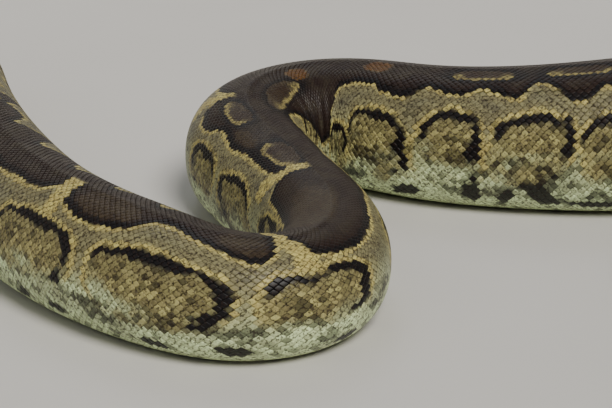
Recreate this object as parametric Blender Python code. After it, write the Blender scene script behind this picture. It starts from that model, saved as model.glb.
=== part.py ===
"""A life-size African rock python lying in loose coils on a floor, as a still museum model.

The whole animal is one tube. A table of bends lays its centreline out on the floor, a table of
heights gives its girth, and a loaf-shaped section with a flat belly is swept along it. The tube is
parted with thin flat cuts into head, neck, trunk lengths and tail. Eyes and spurs sit in sockets.
Units are metres, +Z is up, the floor is z = 0, and distances run from the snout to the tail tip.
"""
import math

import bmesh
import bpy
import numpy as np
from mathutils import Matrix, Vector

# ---------------------------------------------------------------- the pose, from snout to tail tip
# Each row: length of the stretch, and how far it turns (degrees, positive to the walker's left
# when one walks on it from the snout to the tail).
BENDS = (
    (0.170, 0.0),       # head and nape, straight
    (0.100, 24.0),      # neck swings out
    (0.385, -192.0),    # neck loops back on itself
    (0.345, 15.0),      # front coil comes forward
    (0.225, 32.0),
    (0.100, 106.0),     # first tight bend
    (0.100, 39.0),
    (0.155, -2.0),      # short run between the bends
    (0.185, -153.0),    # second tight bend
    (0.070, 28.0),
    (0.275, 35.0),      # long flank
    (0.405, -114.0),    # rear coil
    (0.410, -116.0),
    (0.330, -134.0),
    (0.365, -184.0),    # the tail winds in
)
START_HEADING = 89.5        # degrees from +X, of the walk's first step
BEND_SOFTNESS = 0.024       # how gently one stretch's curvature passes into the next
PATH_STEP = 0.002

# Body height over the floor against distance from the snout.
HEIGHTS = (
    (0.135, 0.0450), (0.200, 0.0530), (0.400, 0.0780), (0.650, 0.0970), (0.900, 0.0990),
    (1.150, 0.0960), (1.315, 0.0830), (1.475, 0.0890), (1.655, 0.1025), (1.855, 0.1140),
    (2.080, 0.1305), (2.400, 0.1270), (2.700, 0.1080), (3.000, 0.0780), (3.200, 0.0500),
    (3.615, 0.0090),
)
WIDTH_TO_HEIGHT = 1.06
WIDEST_AT = 0.46            # height of the widest line, as a share of the body's height
UPPER_EXPONENT = 2.1        # roundness of the back
LOWER_EXPONENT = 2.5        # roundness of the lower flank
BELLY_EDGE_ANGLE = 160.0    # where the round flank ends and the flat belly begins

# The head: distance from the snout, half width, underside height, top height.
HEAD_FORM = (
    (0.0000, 0.0060, 0.0085, 0.0165),
    (0.0020, 0.0118, 0.0052, 0.0205),
    (0.0070, 0.0160, 0.0022, 0.0240),
    (0.0170, 0.0193, 0.0004, 0.0273),
    (0.0300, 0.0220, 0.0000, 0.0302),
    (0.0430, 0.0248, 0.0000, 0.0330),
    (0.0620, 0.0290, 0.0000, 0.0358),
    (0.0820, 0.0348, 0.0000, 0.0385),
    (0.0980, 0.0376, 0.0000, 0.0402),
    (0.1120, 0.0365, 0.0000, 0.0415),
    (0.1240, 0.0322, 0.0000, 0.0430),
    (0.1350, 0.0280, 0.0000, 0.0445),
    (0.1500, 0.0265, 0.0000, 0.0465),
)
HEAD_BLEND = (0.110, 0.150)     # over this distance the head's section becomes the body's
HEAD_UPPER_EXPONENT = 2.7       # flat crown, upright cheeks
HEAD_LOWER_EXPONENT = 2.9
HEAD_WIDEST_AT = 0.42

# ---------------------------------------------------------------- how the tube is divided
CUTS = (
    ("neck", 0.140), ("trunk_01", 0.400), ("trunk_02", 0.600), ("trunk_03", 1.000),
    ("trunk_04", 1.275), ("trunk_05", 1.500), ("trunk_06", 1.672), ("trunk_07", 1.930),
    ("trunk_08", 2.200), ("trunk_09", 2.470), ("trunk_10", 2.760), ("trunk_11", 3.000),
    ("tail_base", 3.190), ("tail_tip", 3.400),
)
CUT_GAP = 0.0004
RING_POINTS = 23            # one on the spine, the rest in pairs down to the belly's two edges
LONGEST_STEP = 0.040
WIDEST_TURN = 10.5          # degrees between two neighbouring rings
HEAD_STEP = 0.0046

# ---------------------------------------------------------------- eyes and spurs
EYE_AT = 0.0420             # distance from the snout
EYE_ANGLE = 66.0            # round the section from the crown
EYE_RADIUS = 0.0056
EYE_STANDS_OUT = 0.0019
EYE_FORWARD = 16.0          # degrees that the eye looks ahead of straight out
SPUR_AT = 3.160
SPUR_ANGLE = 118.0
SPUR_LENGTH = 0.0100
SPUR_RADIUS = 0.0024
SPUR_TIP_RADIUS = 0.0006
SPUR_ROOT = 0.0030          # length of the spur inside the flank
SPUR_LEAN = 38.0            # degrees that it leans towards the tail
SOCKET_GAP = 0.0003

# colour, roughness
FINISHES = {
    "head_skin": ((0.150, 0.094, 0.040), 0.42),
    "body_skin": ((0.235, 0.178, 0.072), 0.40),
    "coil_skin": ((0.190, 0.135, 0.055), 0.40),
    "tail_skin": ((0.165, 0.118, 0.052), 0.42),
    "eye_gloss": ((0.030, 0.022, 0.012), 0.08),
    "spur_horn": ((0.120, 0.085, 0.050), 0.35),
}


# ---------------------------------------------------------------- smooth curves through tables
def monotone(table, at, column=1):
    """Read a column of a table at the given distances, smoothly and without overshoot."""
    xs = np.array([row[0] for row in table])
    ys = np.array([row[column] for row in table])
    gaps = np.diff(xs)
    rises = np.diff(ys) / gaps
    slopes = np.concatenate([[rises[0]], np.zeros(len(xs) - 2), [rises[-1]]])
    for i in range(1, len(xs) - 1):
        if rises[i - 1] * rises[i] > 0.0:
            before, after = 2.0 * gaps[i] + gaps[i - 1], gaps[i] + 2.0 * gaps[i - 1]
            slopes[i] = (before + after) / (before / rises[i - 1] + after / rises[i])
    at = np.clip(np.asarray(at, dtype=float), xs[0], xs[-1])
    i = np.clip(np.searchsorted(xs, at) - 1, 0, len(gaps) - 1)
    t = (at - xs[i]) / gaps[i]
    value = (1.0 + 2.0 * t) * (1.0 - t) ** 2 * ys[i] + t * (1.0 - t) ** 2 * gaps[i] * slopes[i]
    return value + t * t * (3.0 - 2.0 * t) * ys[i + 1] + t * t * (t - 1.0) * gaps[i] * slopes[i + 1]


def soften(values, reach):
    """Smooth an evenly stepped curve with a bell of the given reach."""
    count = int(round(4.0 * reach / PATH_STEP))
    bell = np.exp(-0.5 * (np.arange(-count, count + 1) * PATH_STEP / reach) ** 2)
    return np.convolve(np.pad(values, count, mode="edge"), bell / bell.sum(), mode="valid")


class Path:
    """The centreline on the floor, stepped evenly from the snout to the tail tip."""

    def __init__(self):
        self.length = sum(length for length, _ in BENDS)
        steps = int(round(self.length / PATH_STEP)) + 1
        self.along = np.arange(steps) * PATH_STEP
        curvature = np.zeros(steps)
        start = 0.0
        for length, turn in BENDS:
            inside = (self.along >= start - 1e-9) & (self.along < start + length - 1e-9)
            curvature[inside] = math.radians(turn) / length
            start += length
        self.curvature = soften(curvature, BEND_SOFTNESS)
        self.heading = self.summed(self.curvature) + math.radians(START_HEADING)
        self.x = self.summed(np.cos(self.heading))
        self.y = self.summed(np.sin(self.heading))

    @staticmethod
    def summed(values):
        """Running sum of a stepped curve, starting from zero."""
        return np.concatenate([[0.0], np.cumsum(0.5 * (values[1:] + values[:-1])) * PATH_STEP])

    def frame(self, at):
        """Point on the floor, the walk's heading and the vector to the walker's left there."""
        x, y = np.interp(at, self.along, self.x), np.interp(at, self.along, self.y)
        heading = np.interp(at, self.along, self.heading)
        ahead = Vector((math.cos(heading), math.sin(heading), 0.0))
        return Vector((x, y, 0.0)), ahead, Vector((-ahead.y, ahead.x, 0.0))

    def stations(self, start, end, longest, widest_turn):
        """Distances for the rings of one length, closer together where it bends."""
        fine = np.linspace(start, end, 400)
        bend = np.abs(np.interp(fine, self.along, self.curvature))
        density = np.maximum(1.0 / longest, bend / math.radians(widest_turn))
        total = np.concatenate([[0.0], np.cumsum(0.5 * (density[1:] + density[:-1]) * np.diff(fine))])
        count = max(2, int(math.ceil(total[-1])))
        return np.interp(np.linspace(0.0, total[-1], count + 1), total, fine)


# ---------------------------------------------------------------- the section
def mix(a, b, share):
    return a + (b - a) * share


def section_form(at):
    """Half width, underside, top, widest share and the two exponents of the section there."""
    body_height = float(monotone(HEIGHTS, at))
    body = (body_height * WIDTH_TO_HEIGHT / 2.0, 0.0, body_height,
            WIDEST_AT, UPPER_EXPONENT, LOWER_EXPONENT)
    start, end = HEAD_BLEND
    share = min(max((at - start) / (end - start), 0.0), 1.0)
    share = share * share * (3.0 - 2.0 * share)
    if share >= 1.0:
        return body
    head = tuple(float(monotone(HEAD_FORM, at, column)) for column in (1, 2, 3))
    head += (HEAD_WIDEST_AT, HEAD_UPPER_EXPONENT, HEAD_LOWER_EXPONENT)
    return tuple(mix(a, b, share) for a, b in zip(head, body))


def section_point(form, angle):
    """Side and height of the section at an angle in degrees from the crown."""
    half_width, low, top, widest, upper, lower = form
    waist = mix(low, top, widest)
    sine, cosine = math.sin(math.radians(angle)), math.cos(math.radians(angle))
    if cosine >= 0.0:
        return half_width * sine ** (2.0 / upper), waist + (top - waist) * cosine ** (2.0 / upper)
    deepest = (-math.cos(math.radians(BELLY_EDGE_ANGLE))) ** (2.0 / lower)
    drop = min((-cosine) ** (2.0 / lower) / deepest, 1.0)
    return half_width * sine ** (2.0 / lower), waist - (waist - low) * drop


def section_half(form, pairs):
    """Points spaced evenly down one side, from the crown to the belly's edge."""
    angles = np.linspace(0.0, BELLY_EDGE_ANGLE, 200)
    points = np.array([section_point(form, angle) for angle in angles])
    run = np.concatenate([[0.0], np.cumsum(np.hypot(*np.diff(points, axis=0).T))])
    even = np.linspace(0.0, run[-1], pairs + 1)
    return [(np.interp(d, run, points[:, 0]), np.interp(d, run, points[:, 1])) for d in even]


def ring(path, at, shift=0.0):
    """The ring of points round the body at a distance, moved along its own heading by shift."""
    point, ahead, left = path.frame(at)
    half = section_half(section_form(at), (RING_POINTS - 1) // 2)
    right_side = [(-side, height) for side, height in half[:0:-1]]
    return [point + ahead * shift + left * side + Vector((0.0, 0.0, height))
            for side, height in half + right_side]


def surface_point(path, at, angle, side):
    """Point on the skin and its outward normal; side is 1 on the walker's left, -1 on the right."""
    def place(distance, degrees):
        point, _, left = path.frame(distance)
        across, height = section_point(section_form(distance), degrees)
        return point + left * (side * across) + Vector((0.0, 0.0, height))
    along = place(at + 0.001, angle) - place(at - 0.001, angle)
    around = place(at, angle + 1.0) - place(at, angle - 1.0)
    normal = along.cross(around).normalized() * side
    return place(at, angle), normal


# ---------------------------------------------------------------- Blender objects
def collection(name):
    """A new collection in the scene."""
    group = bpy.data.collections.new(name)
    bpy.context.scene.collection.children.link(group)
    return group


def finish(name, finish_name):
    """A material for one object, in one of the named finishes."""
    colour, roughness = FINISHES[finish_name]
    material = bpy.data.materials.new(name)
    material.use_nodes = True
    shader = material.node_tree.nodes["Principled BSDF"]
    shader.inputs["Base Color"].default_value = (*colour, 1.0)
    shader.inputs["Roughness"].default_value = roughness
    material.diffuse_color = (*colour, 1.0)
    return material


def add_object(name, bm, group, parent, finish_name=None):
    """Turn a bmesh into a named object that hangs on the coil's empty."""
    if bm.calc_volume(signed=True) < 0.0:
        bmesh.ops.reverse_faces(bm, faces=bm.faces)
    mesh = bpy.data.meshes.new(name)
    bm.to_mesh(mesh)
    bm.free()
    mesh.shade_smooth()
    mesh.set_sharp_from_angle(angle=math.radians(40.0))
    piece = bpy.data.objects.new(name, mesh)
    piece.parent = parent
    group.objects.link(piece)
    if finish_name:
        mesh.materials.append(finish(name, finish_name))
    return piece


def loft(rings):
    """A closed solid through the rings, with flat ends."""
    bm = bmesh.new()
    loops = [[bm.verts.new(point) for point in points] for points in rings]
    for near, far in zip(loops, loops[1:]):
        for i in range(RING_POINTS):
            j = (i + 1) % RING_POINTS
            bm.faces.new((near[i], near[j], far[j], far[i]))
    bm.faces.new(loops[0][::-1])
    bm.faces.new(loops[-1])
    return bm


def body_lengths(path, group, parent):
    """Head, neck, trunk lengths and tail, parted by thin cuts square to the body."""
    names = ["head"] + [name for name, _ in CUTS]
    edges = [0.0] + [at for _, at in CUTS] + [path.length]
    pieces = {}
    for i, name in enumerate(names):
        start, end = edges[i], edges[i + 1]
        if name == "head":
            tip = [row[0] for row in HEAD_FORM[:3]]
            stations = tip + list(path.stations(HEAD_FORM[3][0], end, HEAD_STEP, WIDEST_TURN))
        else:
            stations = list(path.stations(start, end, LONGEST_STEP, WIDEST_TURN))
        rings = [ring(path, at) for at in stations]
        if i > 0:
            rings[0] = ring(path, start, CUT_GAP / 2.0)
        if i < len(names) - 1:
            rings[-1] = ring(path, end, -CUT_GAP / 2.0)
        kind = "head_skin" if i < 2 else "tail_skin" if name.startswith("tail") else "body_skin"
        if kind == "body_skin" and i % 2:
            kind = "coil_skin"
        pieces[name] = add_object(name, loft(rings), group, parent, kind)
    return pieces


def sink(host, cutter):
    """Cut the cutter's shape out of the host, and hide the cutter."""
    cutter.hide_render = True
    cutter.display_type = "WIRE"
    cut = host.modifiers.new("socket_" + cutter.name, "BOOLEAN")
    cut.operation = "DIFFERENCE"
    cut.solver = "EXACT"
    cut.object = cutter


def eyes(path, head, group, cutters, parent):
    """Two eyeballs in sockets in the cheeks. The animal's left is on the walker's right."""
    _, ahead, left = path.frame(EYE_AT)
    for side, name in ((1, "eye_left"), (-1, "eye_right")):
        point, normal = surface_point(path, EYE_AT, EYE_ANGLE, -side)
        centre = point - normal * (EYE_RADIUS - EYE_STANDS_OUT)
        forward = math.radians(EYE_FORWARD)
        gaze = (left * (-side * math.cos(forward)) - ahead * math.sin(forward)).normalized()
        turn = gaze.to_track_quat("Z", "Y").to_matrix().to_4x4()
        for radius, target in ((EYE_RADIUS, group), (EYE_RADIUS + SOCKET_GAP, cutters)):
            bm = bmesh.new()
            bmesh.ops.create_uvsphere(bm, u_segments=16, v_segments=10, radius=radius)
            bm.transform(Matrix.Translation(centre) @ turn)
            if target is group:
                add_object(name, bm, group, parent, "eye_gloss")
            else:
                sink(head, add_object(name + "_socket", bm, cutters, parent))


def spurs(path, host, group, cutters, parent):
    """The two small claws beside the vent, rooted in the flank and leaning to the tail."""
    _, ahead, _ = path.frame(SPUR_AT)
    for side, name in ((1, "spur_left"), (-1, "spur_right")):
        point, normal = surface_point(path, SPUR_AT, SPUR_ANGLE, -side)
        lean = math.radians(SPUR_LEAN)
        axis = (normal * math.cos(lean) + ahead * math.sin(lean)).normalized()
        turn = axis.to_track_quat("Z", "Y").to_matrix().to_4x4()
        middle = point + axis * (SPUR_LENGTH / 2.0 - SPUR_ROOT)
        for grow, target in ((0.0, group), (SOCKET_GAP, cutters)):
            bm = bmesh.new()
            bmesh.ops.create_cone(bm, cap_ends=True, segments=10, radius1=SPUR_RADIUS + grow,
                                  radius2=SPUR_TIP_RADIUS + grow, depth=SPUR_LENGTH + 2.0 * grow)
            bm.transform(Matrix.Translation(middle) @ turn)
            if target is group:
                add_object(name, bm, group, parent, "spur_horn")
            else:
                sink(host, add_object(name + "_socket", bm, cutters, parent))


def centre_on_origin(pieces, coil):
    """Move the coil's empty so that the whole body stands centred on the origin."""
    points = [vertex.co for piece in pieces for vertex in piece.data.vertices]
    low = [min(point[i] for point in points) for i in range(2)]
    high = [max(point[i] for point in points) for i in range(2)]
    coil.location = (-(low[0] + high[0]) / 2.0, -(low[1] + high[1]) / 2.0, 0.0)


def main():
    for old in list(bpy.data.objects):
        bpy.data.objects.remove(old, do_unlink=True)
    group, cutters = collection("rock_python"), collection("cutters")
    coil = bpy.data.objects.new("coil", None)
    group.objects.link(coil)
    path = Path()
    pieces = body_lengths(path, group, coil)
    eyes(path, pieces["head"], group, cutters, coil)
    spur_host = [name for name, at in CUTS if at < SPUR_AT][-1]
    spurs(path, pieces[spur_host], group, cutters, coil)
    centre_on_origin(pieces.values(), coil)


main()
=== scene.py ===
"""The looks of a life-size African rock python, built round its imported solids.

One skin follows the outline of the solids from just inside them. A coat of overlapping scales, a row of
belly plates and a mask of head shields lie over it, and eyes and spurs sit in it.
Places on the animal are given by two numbers: the distance along the body from the snout, in metres,
and the share of the way round it, from -1 in the middle of the belly, up the animal's left flank to 0
on the spine, and down its right flank to 1. Lengths are in metres and +Z is up.
"""
import logging
import math
from dataclasses import dataclass
from enum import Enum

import bpy
import numpy as np
from mathutils import Matrix, Vector
from mathutils.bvhtree import BVHTree


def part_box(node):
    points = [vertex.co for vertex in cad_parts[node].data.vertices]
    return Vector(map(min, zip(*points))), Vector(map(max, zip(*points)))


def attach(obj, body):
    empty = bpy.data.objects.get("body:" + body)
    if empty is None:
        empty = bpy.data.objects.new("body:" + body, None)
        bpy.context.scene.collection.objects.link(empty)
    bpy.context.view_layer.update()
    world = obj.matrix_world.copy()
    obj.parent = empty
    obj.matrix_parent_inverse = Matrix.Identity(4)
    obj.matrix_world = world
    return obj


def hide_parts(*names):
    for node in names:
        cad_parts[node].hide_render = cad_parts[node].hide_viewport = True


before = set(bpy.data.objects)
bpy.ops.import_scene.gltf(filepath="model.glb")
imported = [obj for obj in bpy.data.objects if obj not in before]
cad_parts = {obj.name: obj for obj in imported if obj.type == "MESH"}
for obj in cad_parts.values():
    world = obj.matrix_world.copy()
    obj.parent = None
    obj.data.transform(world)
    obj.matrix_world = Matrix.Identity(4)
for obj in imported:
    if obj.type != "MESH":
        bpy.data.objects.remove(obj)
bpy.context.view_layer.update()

LOG = logging.getLogger("python_model")
Colour = tuple[float, float, float]
Rows = tuple[tuple[float, ...], ...]

COAT_DEPTH = 0.0006         # the skin lies this far inside the solids
HEAD_END = 0.1270           # head shields end and rows of body scales begin
VENT_AT = 3.190


class Flank(Enum):
    """The animal's two sides, as the sign of the share of the way round."""

    LEFT = -1
    RIGHT = 1


# ---------------------------------------------------------------- numbers through tables
def monotone(table: Rows, at: np.ndarray, column: int = 1) -> np.ndarray:
    """Read a column of a table smoothly and without overshoot.

    Args:
        table: Rows of a distance and its values.
        at: Distances to read at.
        column: Which value of a row to read.

    Returns:
        The values, one for each distance.
    """
    xs = np.array([row[0] for row in table])
    ys = np.array([row[column] for row in table])
    gaps = np.diff(xs)
    rises = np.diff(ys) / gaps
    slopes = np.concatenate([[rises[0]], np.zeros(len(xs) - 2), [rises[-1]]])
    for i in range(1, len(xs) - 1):
        if rises[i - 1] * rises[i] > 0.0:
            before, after = 2.0 * gaps[i] + gaps[i - 1], gaps[i] + 2.0 * gaps[i - 1]
            slopes[i] = (before + after) / (before / rises[i - 1] + after / rises[i])
    at = np.clip(np.asarray(at, dtype=float), xs[0], xs[-1])
    i = np.clip(np.searchsorted(xs, at) - 1, 0, len(gaps) - 1)
    t = (at - xs[i]) / gaps[i]
    value = (1.0 + 2.0 * t) * (1.0 - t) ** 2 * ys[i] + t * (1.0 - t) ** 2 * gaps[i] * slopes[i]
    return value + t * t * (3.0 - 2.0 * t) * ys[i + 1] + t * t * (t - 1.0) * gaps[i] * slopes[i + 1]


def ramp(values: np.ndarray, start: float, end: float) -> np.ndarray:
    """Rise smoothly from 0 at start to 1 at end, or fall where end is the smaller."""
    t = np.clip((np.asarray(values, dtype=float) - start) / (end - start), 0.0, 1.0)
    return t * t * (3.0 - 2.0 * t)


def hump(values: np.ndarray, middle: float, reach: float) -> np.ndarray:
    """A bell of height 1 round a middle."""
    return np.exp(-((np.asarray(values, dtype=float) - middle) / reach) ** 2)


def mottle(x: np.ndarray, y: np.ndarray, seed: int) -> np.ndarray:
    """Smooth random values from -1 to 1 with features of about one unit.

    Args:
        x: First coordinate, in features.
        y: Second coordinate, in features.
        seed: Which of many unlike patterns to give.

    Returns:
        The values, one for each point.
    """
    x, y = np.broadcast_arrays(np.asarray(x, dtype=float), np.asarray(y, dtype=float))
    x0, y0 = np.floor(x), np.floor(y)
    u, v = x - x0, y - y0
    u, v = u * u * (3.0 - 2.0 * u), v * v * (3.0 - 2.0 * v)

    def corner(i: np.ndarray, j: np.ndarray) -> np.ndarray:
        wave = np.sin(i * 127.1 + j * 311.7 + seed * 74.7) * 43758.5453
        return 2.0 * (wave - np.floor(wave)) - 1.0
    low = corner(x0, y0) * (1.0 - u) + corner(x0 + 1.0, y0) * u
    high = corner(x0, y0 + 1.0) * (1.0 - u) + corner(x0 + 1.0, y0 + 1.0) * u
    return low * (1.0 - v) + high * v


# ---------------------------------------------------------------- the animal's form
@dataclass
class Centreline:
    """The body's line on the floor, stepped evenly from the snout to the tail tip.

    Bends are rows of a stretch's length and its turn in degrees, positive to the animal's right.
    """

    bends: Rows = (
        (0.170, 0.0), (0.100, 24.0), (0.385, -192.0), (0.345, 15.0), (0.225, 32.0), (0.100, 106.0),
        (0.100, 39.0), (0.155, -2.0), (0.185, -153.0), (0.070, 28.0), (0.275, 35.0), (0.405, -114.0),
        (0.410, -116.0), (0.330, -134.0), (0.365, -184.0))
    start_heading: float = 89.5
    softness: float = 0.024
    step: float = 0.002

    def __post_init__(self) -> None:
        """Work out the line's points and headings."""
        self.length = sum(row[0] for row in self.bends)
        count = int(round(self.length / self.step)) + 1
        self.along = np.arange(count) * self.step
        bend = np.zeros(count)
        start = 0.0
        for length, turn in self.bends:
            inside = (self.along >= start - 1e-9) & (self.along < start + length - 1e-9)
            bend[inside] = math.radians(turn) / length
            start += length
        reach = int(round(4.0 * self.softness / self.step))
        bell = np.exp(-0.5 * (np.arange(-reach, reach + 1) * self.step / self.softness) ** 2)
        self.curvature = np.convolve(np.pad(bend, reach, mode="edge"), bell / bell.sum(), mode="valid")
        self.heading = self._summed(self.curvature) + math.radians(self.start_heading)
        self.x = self._summed(np.cos(self.heading))
        self.y = self._summed(np.sin(self.heading))

    def _summed(self, values: np.ndarray) -> np.ndarray:
        """Running sum of a stepped curve, starting from zero."""
        return np.concatenate([[0.0], np.cumsum(0.5 * (values[1:] + values[:-1])) * self.step])

    def shift(self, x: float, y: float) -> None:
        """Move the whole line."""
        self.x, self.y = self.x + x, self.y + y

    def place(self, at: np.ndarray, side: np.ndarray, height: np.ndarray) -> np.ndarray:
        """Points beside and above the line, with side positive to the animal's right."""
        heading = np.interp(at, self.along, self.heading)
        x = np.interp(at, self.along, self.x) - np.sin(heading) * side
        y = np.interp(at, self.along, self.y) + np.cos(heading) * side
        return np.stack(np.broadcast_arrays(x, y, height), axis=-1)


@dataclass
class Build:
    """The body's sizes: height over the floor along the body, and the head's own sections.

    Head rows give distance, half width, underside and top.
    """

    heights: Rows = (
        (0.135, 0.0450), (0.200, 0.0530), (0.400, 0.0780), (0.650, 0.0970), (0.900, 0.0990),
        (1.150, 0.0960), (1.315, 0.0830), (1.475, 0.0890), (1.655, 0.1025), (1.855, 0.1140),
        (2.080, 0.1305), (2.400, 0.1270), (2.700, 0.1080), (3.000, 0.0780), (3.200, 0.0500),
        (3.615, 0.0090))
    head: Rows = (
        (0.0000, 0.0060, 0.0085, 0.0165), (0.0020, 0.0118, 0.0052, 0.0205),
        (0.0070, 0.0160, 0.0022, 0.0240), (0.0170, 0.0193, 0.0004, 0.0273),
        (0.0300, 0.0220, 0.0000, 0.0302), (0.0430, 0.0248, 0.0000, 0.0330),
        (0.0620, 0.0290, 0.0000, 0.0358), (0.0820, 0.0348, 0.0000, 0.0385),
        (0.0980, 0.0376, 0.0000, 0.0402), (0.1120, 0.0365, 0.0000, 0.0415),
        (0.1240, 0.0322, 0.0000, 0.0430), (0.1350, 0.0280, 0.0000, 0.0445),
        (0.1500, 0.0265, 0.0000, 0.0465))
    blend: tuple[float, float] = (0.110, 0.150)
    width_to_height: float = 1.06
    body_shape: tuple[float, float, float] = (0.46, 2.1, 2.5)      # widest at, upper, lower exponent
    head_shape: tuple[float, float, float] = (0.42, 2.7, 2.9)
    belly_edge: float = 160.0
    snout_dome: float = 0.0012
    tail_dome: float = 0.0140

    def sections(self, at: np.ndarray, length: float) -> list[np.ndarray]:
        """Half width, underside, top, widest share and two exponents of the sections.

        Args:
            at: Distances along the body.
            length: The body's whole length, for the rounding of the tail tip.

        Returns:
            Six columns, one row for each distance.
        """
        tall = monotone(self.heights, at)
        share = ramp(at, *self.blend)
        body = [tall * self.width_to_height / 2.0, 0.0 * at, tall] + [0.0 * at + k for k in self.body_shape]
        head = [monotone(self.head, at, column) for column in (1, 2, 3)]
        head += [0.0 * at + k for k in self.head_shape]
        forms = [h + (b - h) * share for h, b in zip(head, body)]
        nose = np.clip(at / self.snout_dome, 0.0, 1.0)
        tail = np.clip((length - at) / self.tail_dome, 0.0, 1.0)
        round_off = np.sqrt(1.0 - (1.0 - nose) ** 2) * np.sqrt(1.0 - (1.0 - tail) ** 2)
        round_off = np.maximum(round_off, 0.02)
        middle = forms[1] + (forms[2] - forms[1]) * 0.45
        forms[0] = forms[0] * round_off
        forms[1] = middle + (forms[1] - middle) * round_off
        forms[2] = middle + (forms[2] - middle) * round_off
        return [column[:, None] for column in forms]

    def outlines(self, at: np.ndarray, length: float,
                 count: int) -> tuple[np.ndarray, np.ndarray, np.ndarray]:
        """Sections as points spaced evenly from the spine to the middle of the belly.

        Args:
            at: Distances along the body.
            length: The body's whole length.
            count: Points in each half section.

        Returns:
            Sideways places, heights, and the run from spine to mid belly at each distance.
        """
        half, low, top, widest, upper, lower = self.sections(at, length)
        angle = np.radians(np.linspace(0.0, self.belly_edge, 241))[None, :]
        sine, cosine = np.sin(angle), np.cos(angle)
        waist = low + (top - low) * widest
        deepest = (-math.cos(math.radians(self.belly_edge))) ** (2.0 / lower)
        drop = np.minimum(np.abs(cosine) ** (2.0 / lower) / deepest, 1.0)
        is_upper = cosine >= 0.0
        side = half * np.where(is_upper, sine ** (2.0 / upper), sine ** (2.0 / lower))
        height = np.where(is_upper, waist + (top - waist) * np.abs(cosine) ** (2.0 / upper),
                          waist - (waist - low) * drop)
        side = np.hstack([side, np.zeros_like(half)])
        height = np.hstack([height, low])
        run = np.hstack([0.0 * half, np.cumsum(np.hypot(np.diff(side), np.diff(height)), axis=1)])
        share = np.linspace(0.0, 1.0, count)
        even_side = np.stack([np.interp(share * r[-1], r, x) for r, x in zip(run, side)])
        even_height = np.stack([np.interp(share * r[-1], r, z) for r, z in zip(run, height)])
        return even_side, even_height, run[:, -1]


@dataclass
class HeadLines:
    """Where the lines and hollows of the head run, in distance from the snout and height."""

    mouth: Rows = ((0.0, 0.0108), (0.010, 0.0098), (0.030, 0.0096), (0.050, 0.0106), (0.070, 0.0128),
                   (0.085, 0.0158), (0.094, 0.0186))
    mouth_end: float = 0.093

    def relief(self, at: np.ndarray, side: np.ndarray, height: np.ndarray) -> np.ndarray:
        """How far the skin stands out of its plain form on the head, negative where it is sunk.

        Args:
            at: Distances from the snout.
            side: Distances from the head's middle plane.
            height: Heights over the floor.

        Returns:
            The rise along the normal, in metres.
        """
        across = np.abs(side)
        under = ramp(height, 0.006, 0.002)
        mouth = monotone(self.mouth, at)
        groove = hump(height, mouth, 0.0007) * ramp(at, self.mouth_end + 0.003, self.mouth_end)
        rise = -0.0004 * groove * (1.0 - under)
        lip = hump(height, mouth + 0.0026, 0.0022) * ramp(at, self.mouth_end + 0.004, self.mouth_end - 0.01)
        rise = rise + 0.0003 * lip * (across > 0.002)
        loreal = hump(at, 0.0230, 0.0100) * hump(height, 0.0195, 0.0038) * (across > 0.008)
        behind = hump(at, 0.0590, 0.0080) * hump(height, 0.0240, 0.0050) * (across > 0.012)
        rise = rise - 0.0012 * loreal - 0.0009 * behind
        furrow = hump(across, 0.0, 0.0035) * hump(at, 0.0650, 0.0260) * (height > 0.02)
        chin = hump(across, 0.0, 0.0010) * ramp(at, 0.056, 0.046) * ramp(at, 0.004, 0.008) * (height < 0.006)
        return (rise - 0.0006 * furrow - 0.0009 * chin) * ramp(at, 0.135, 0.115)


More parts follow.
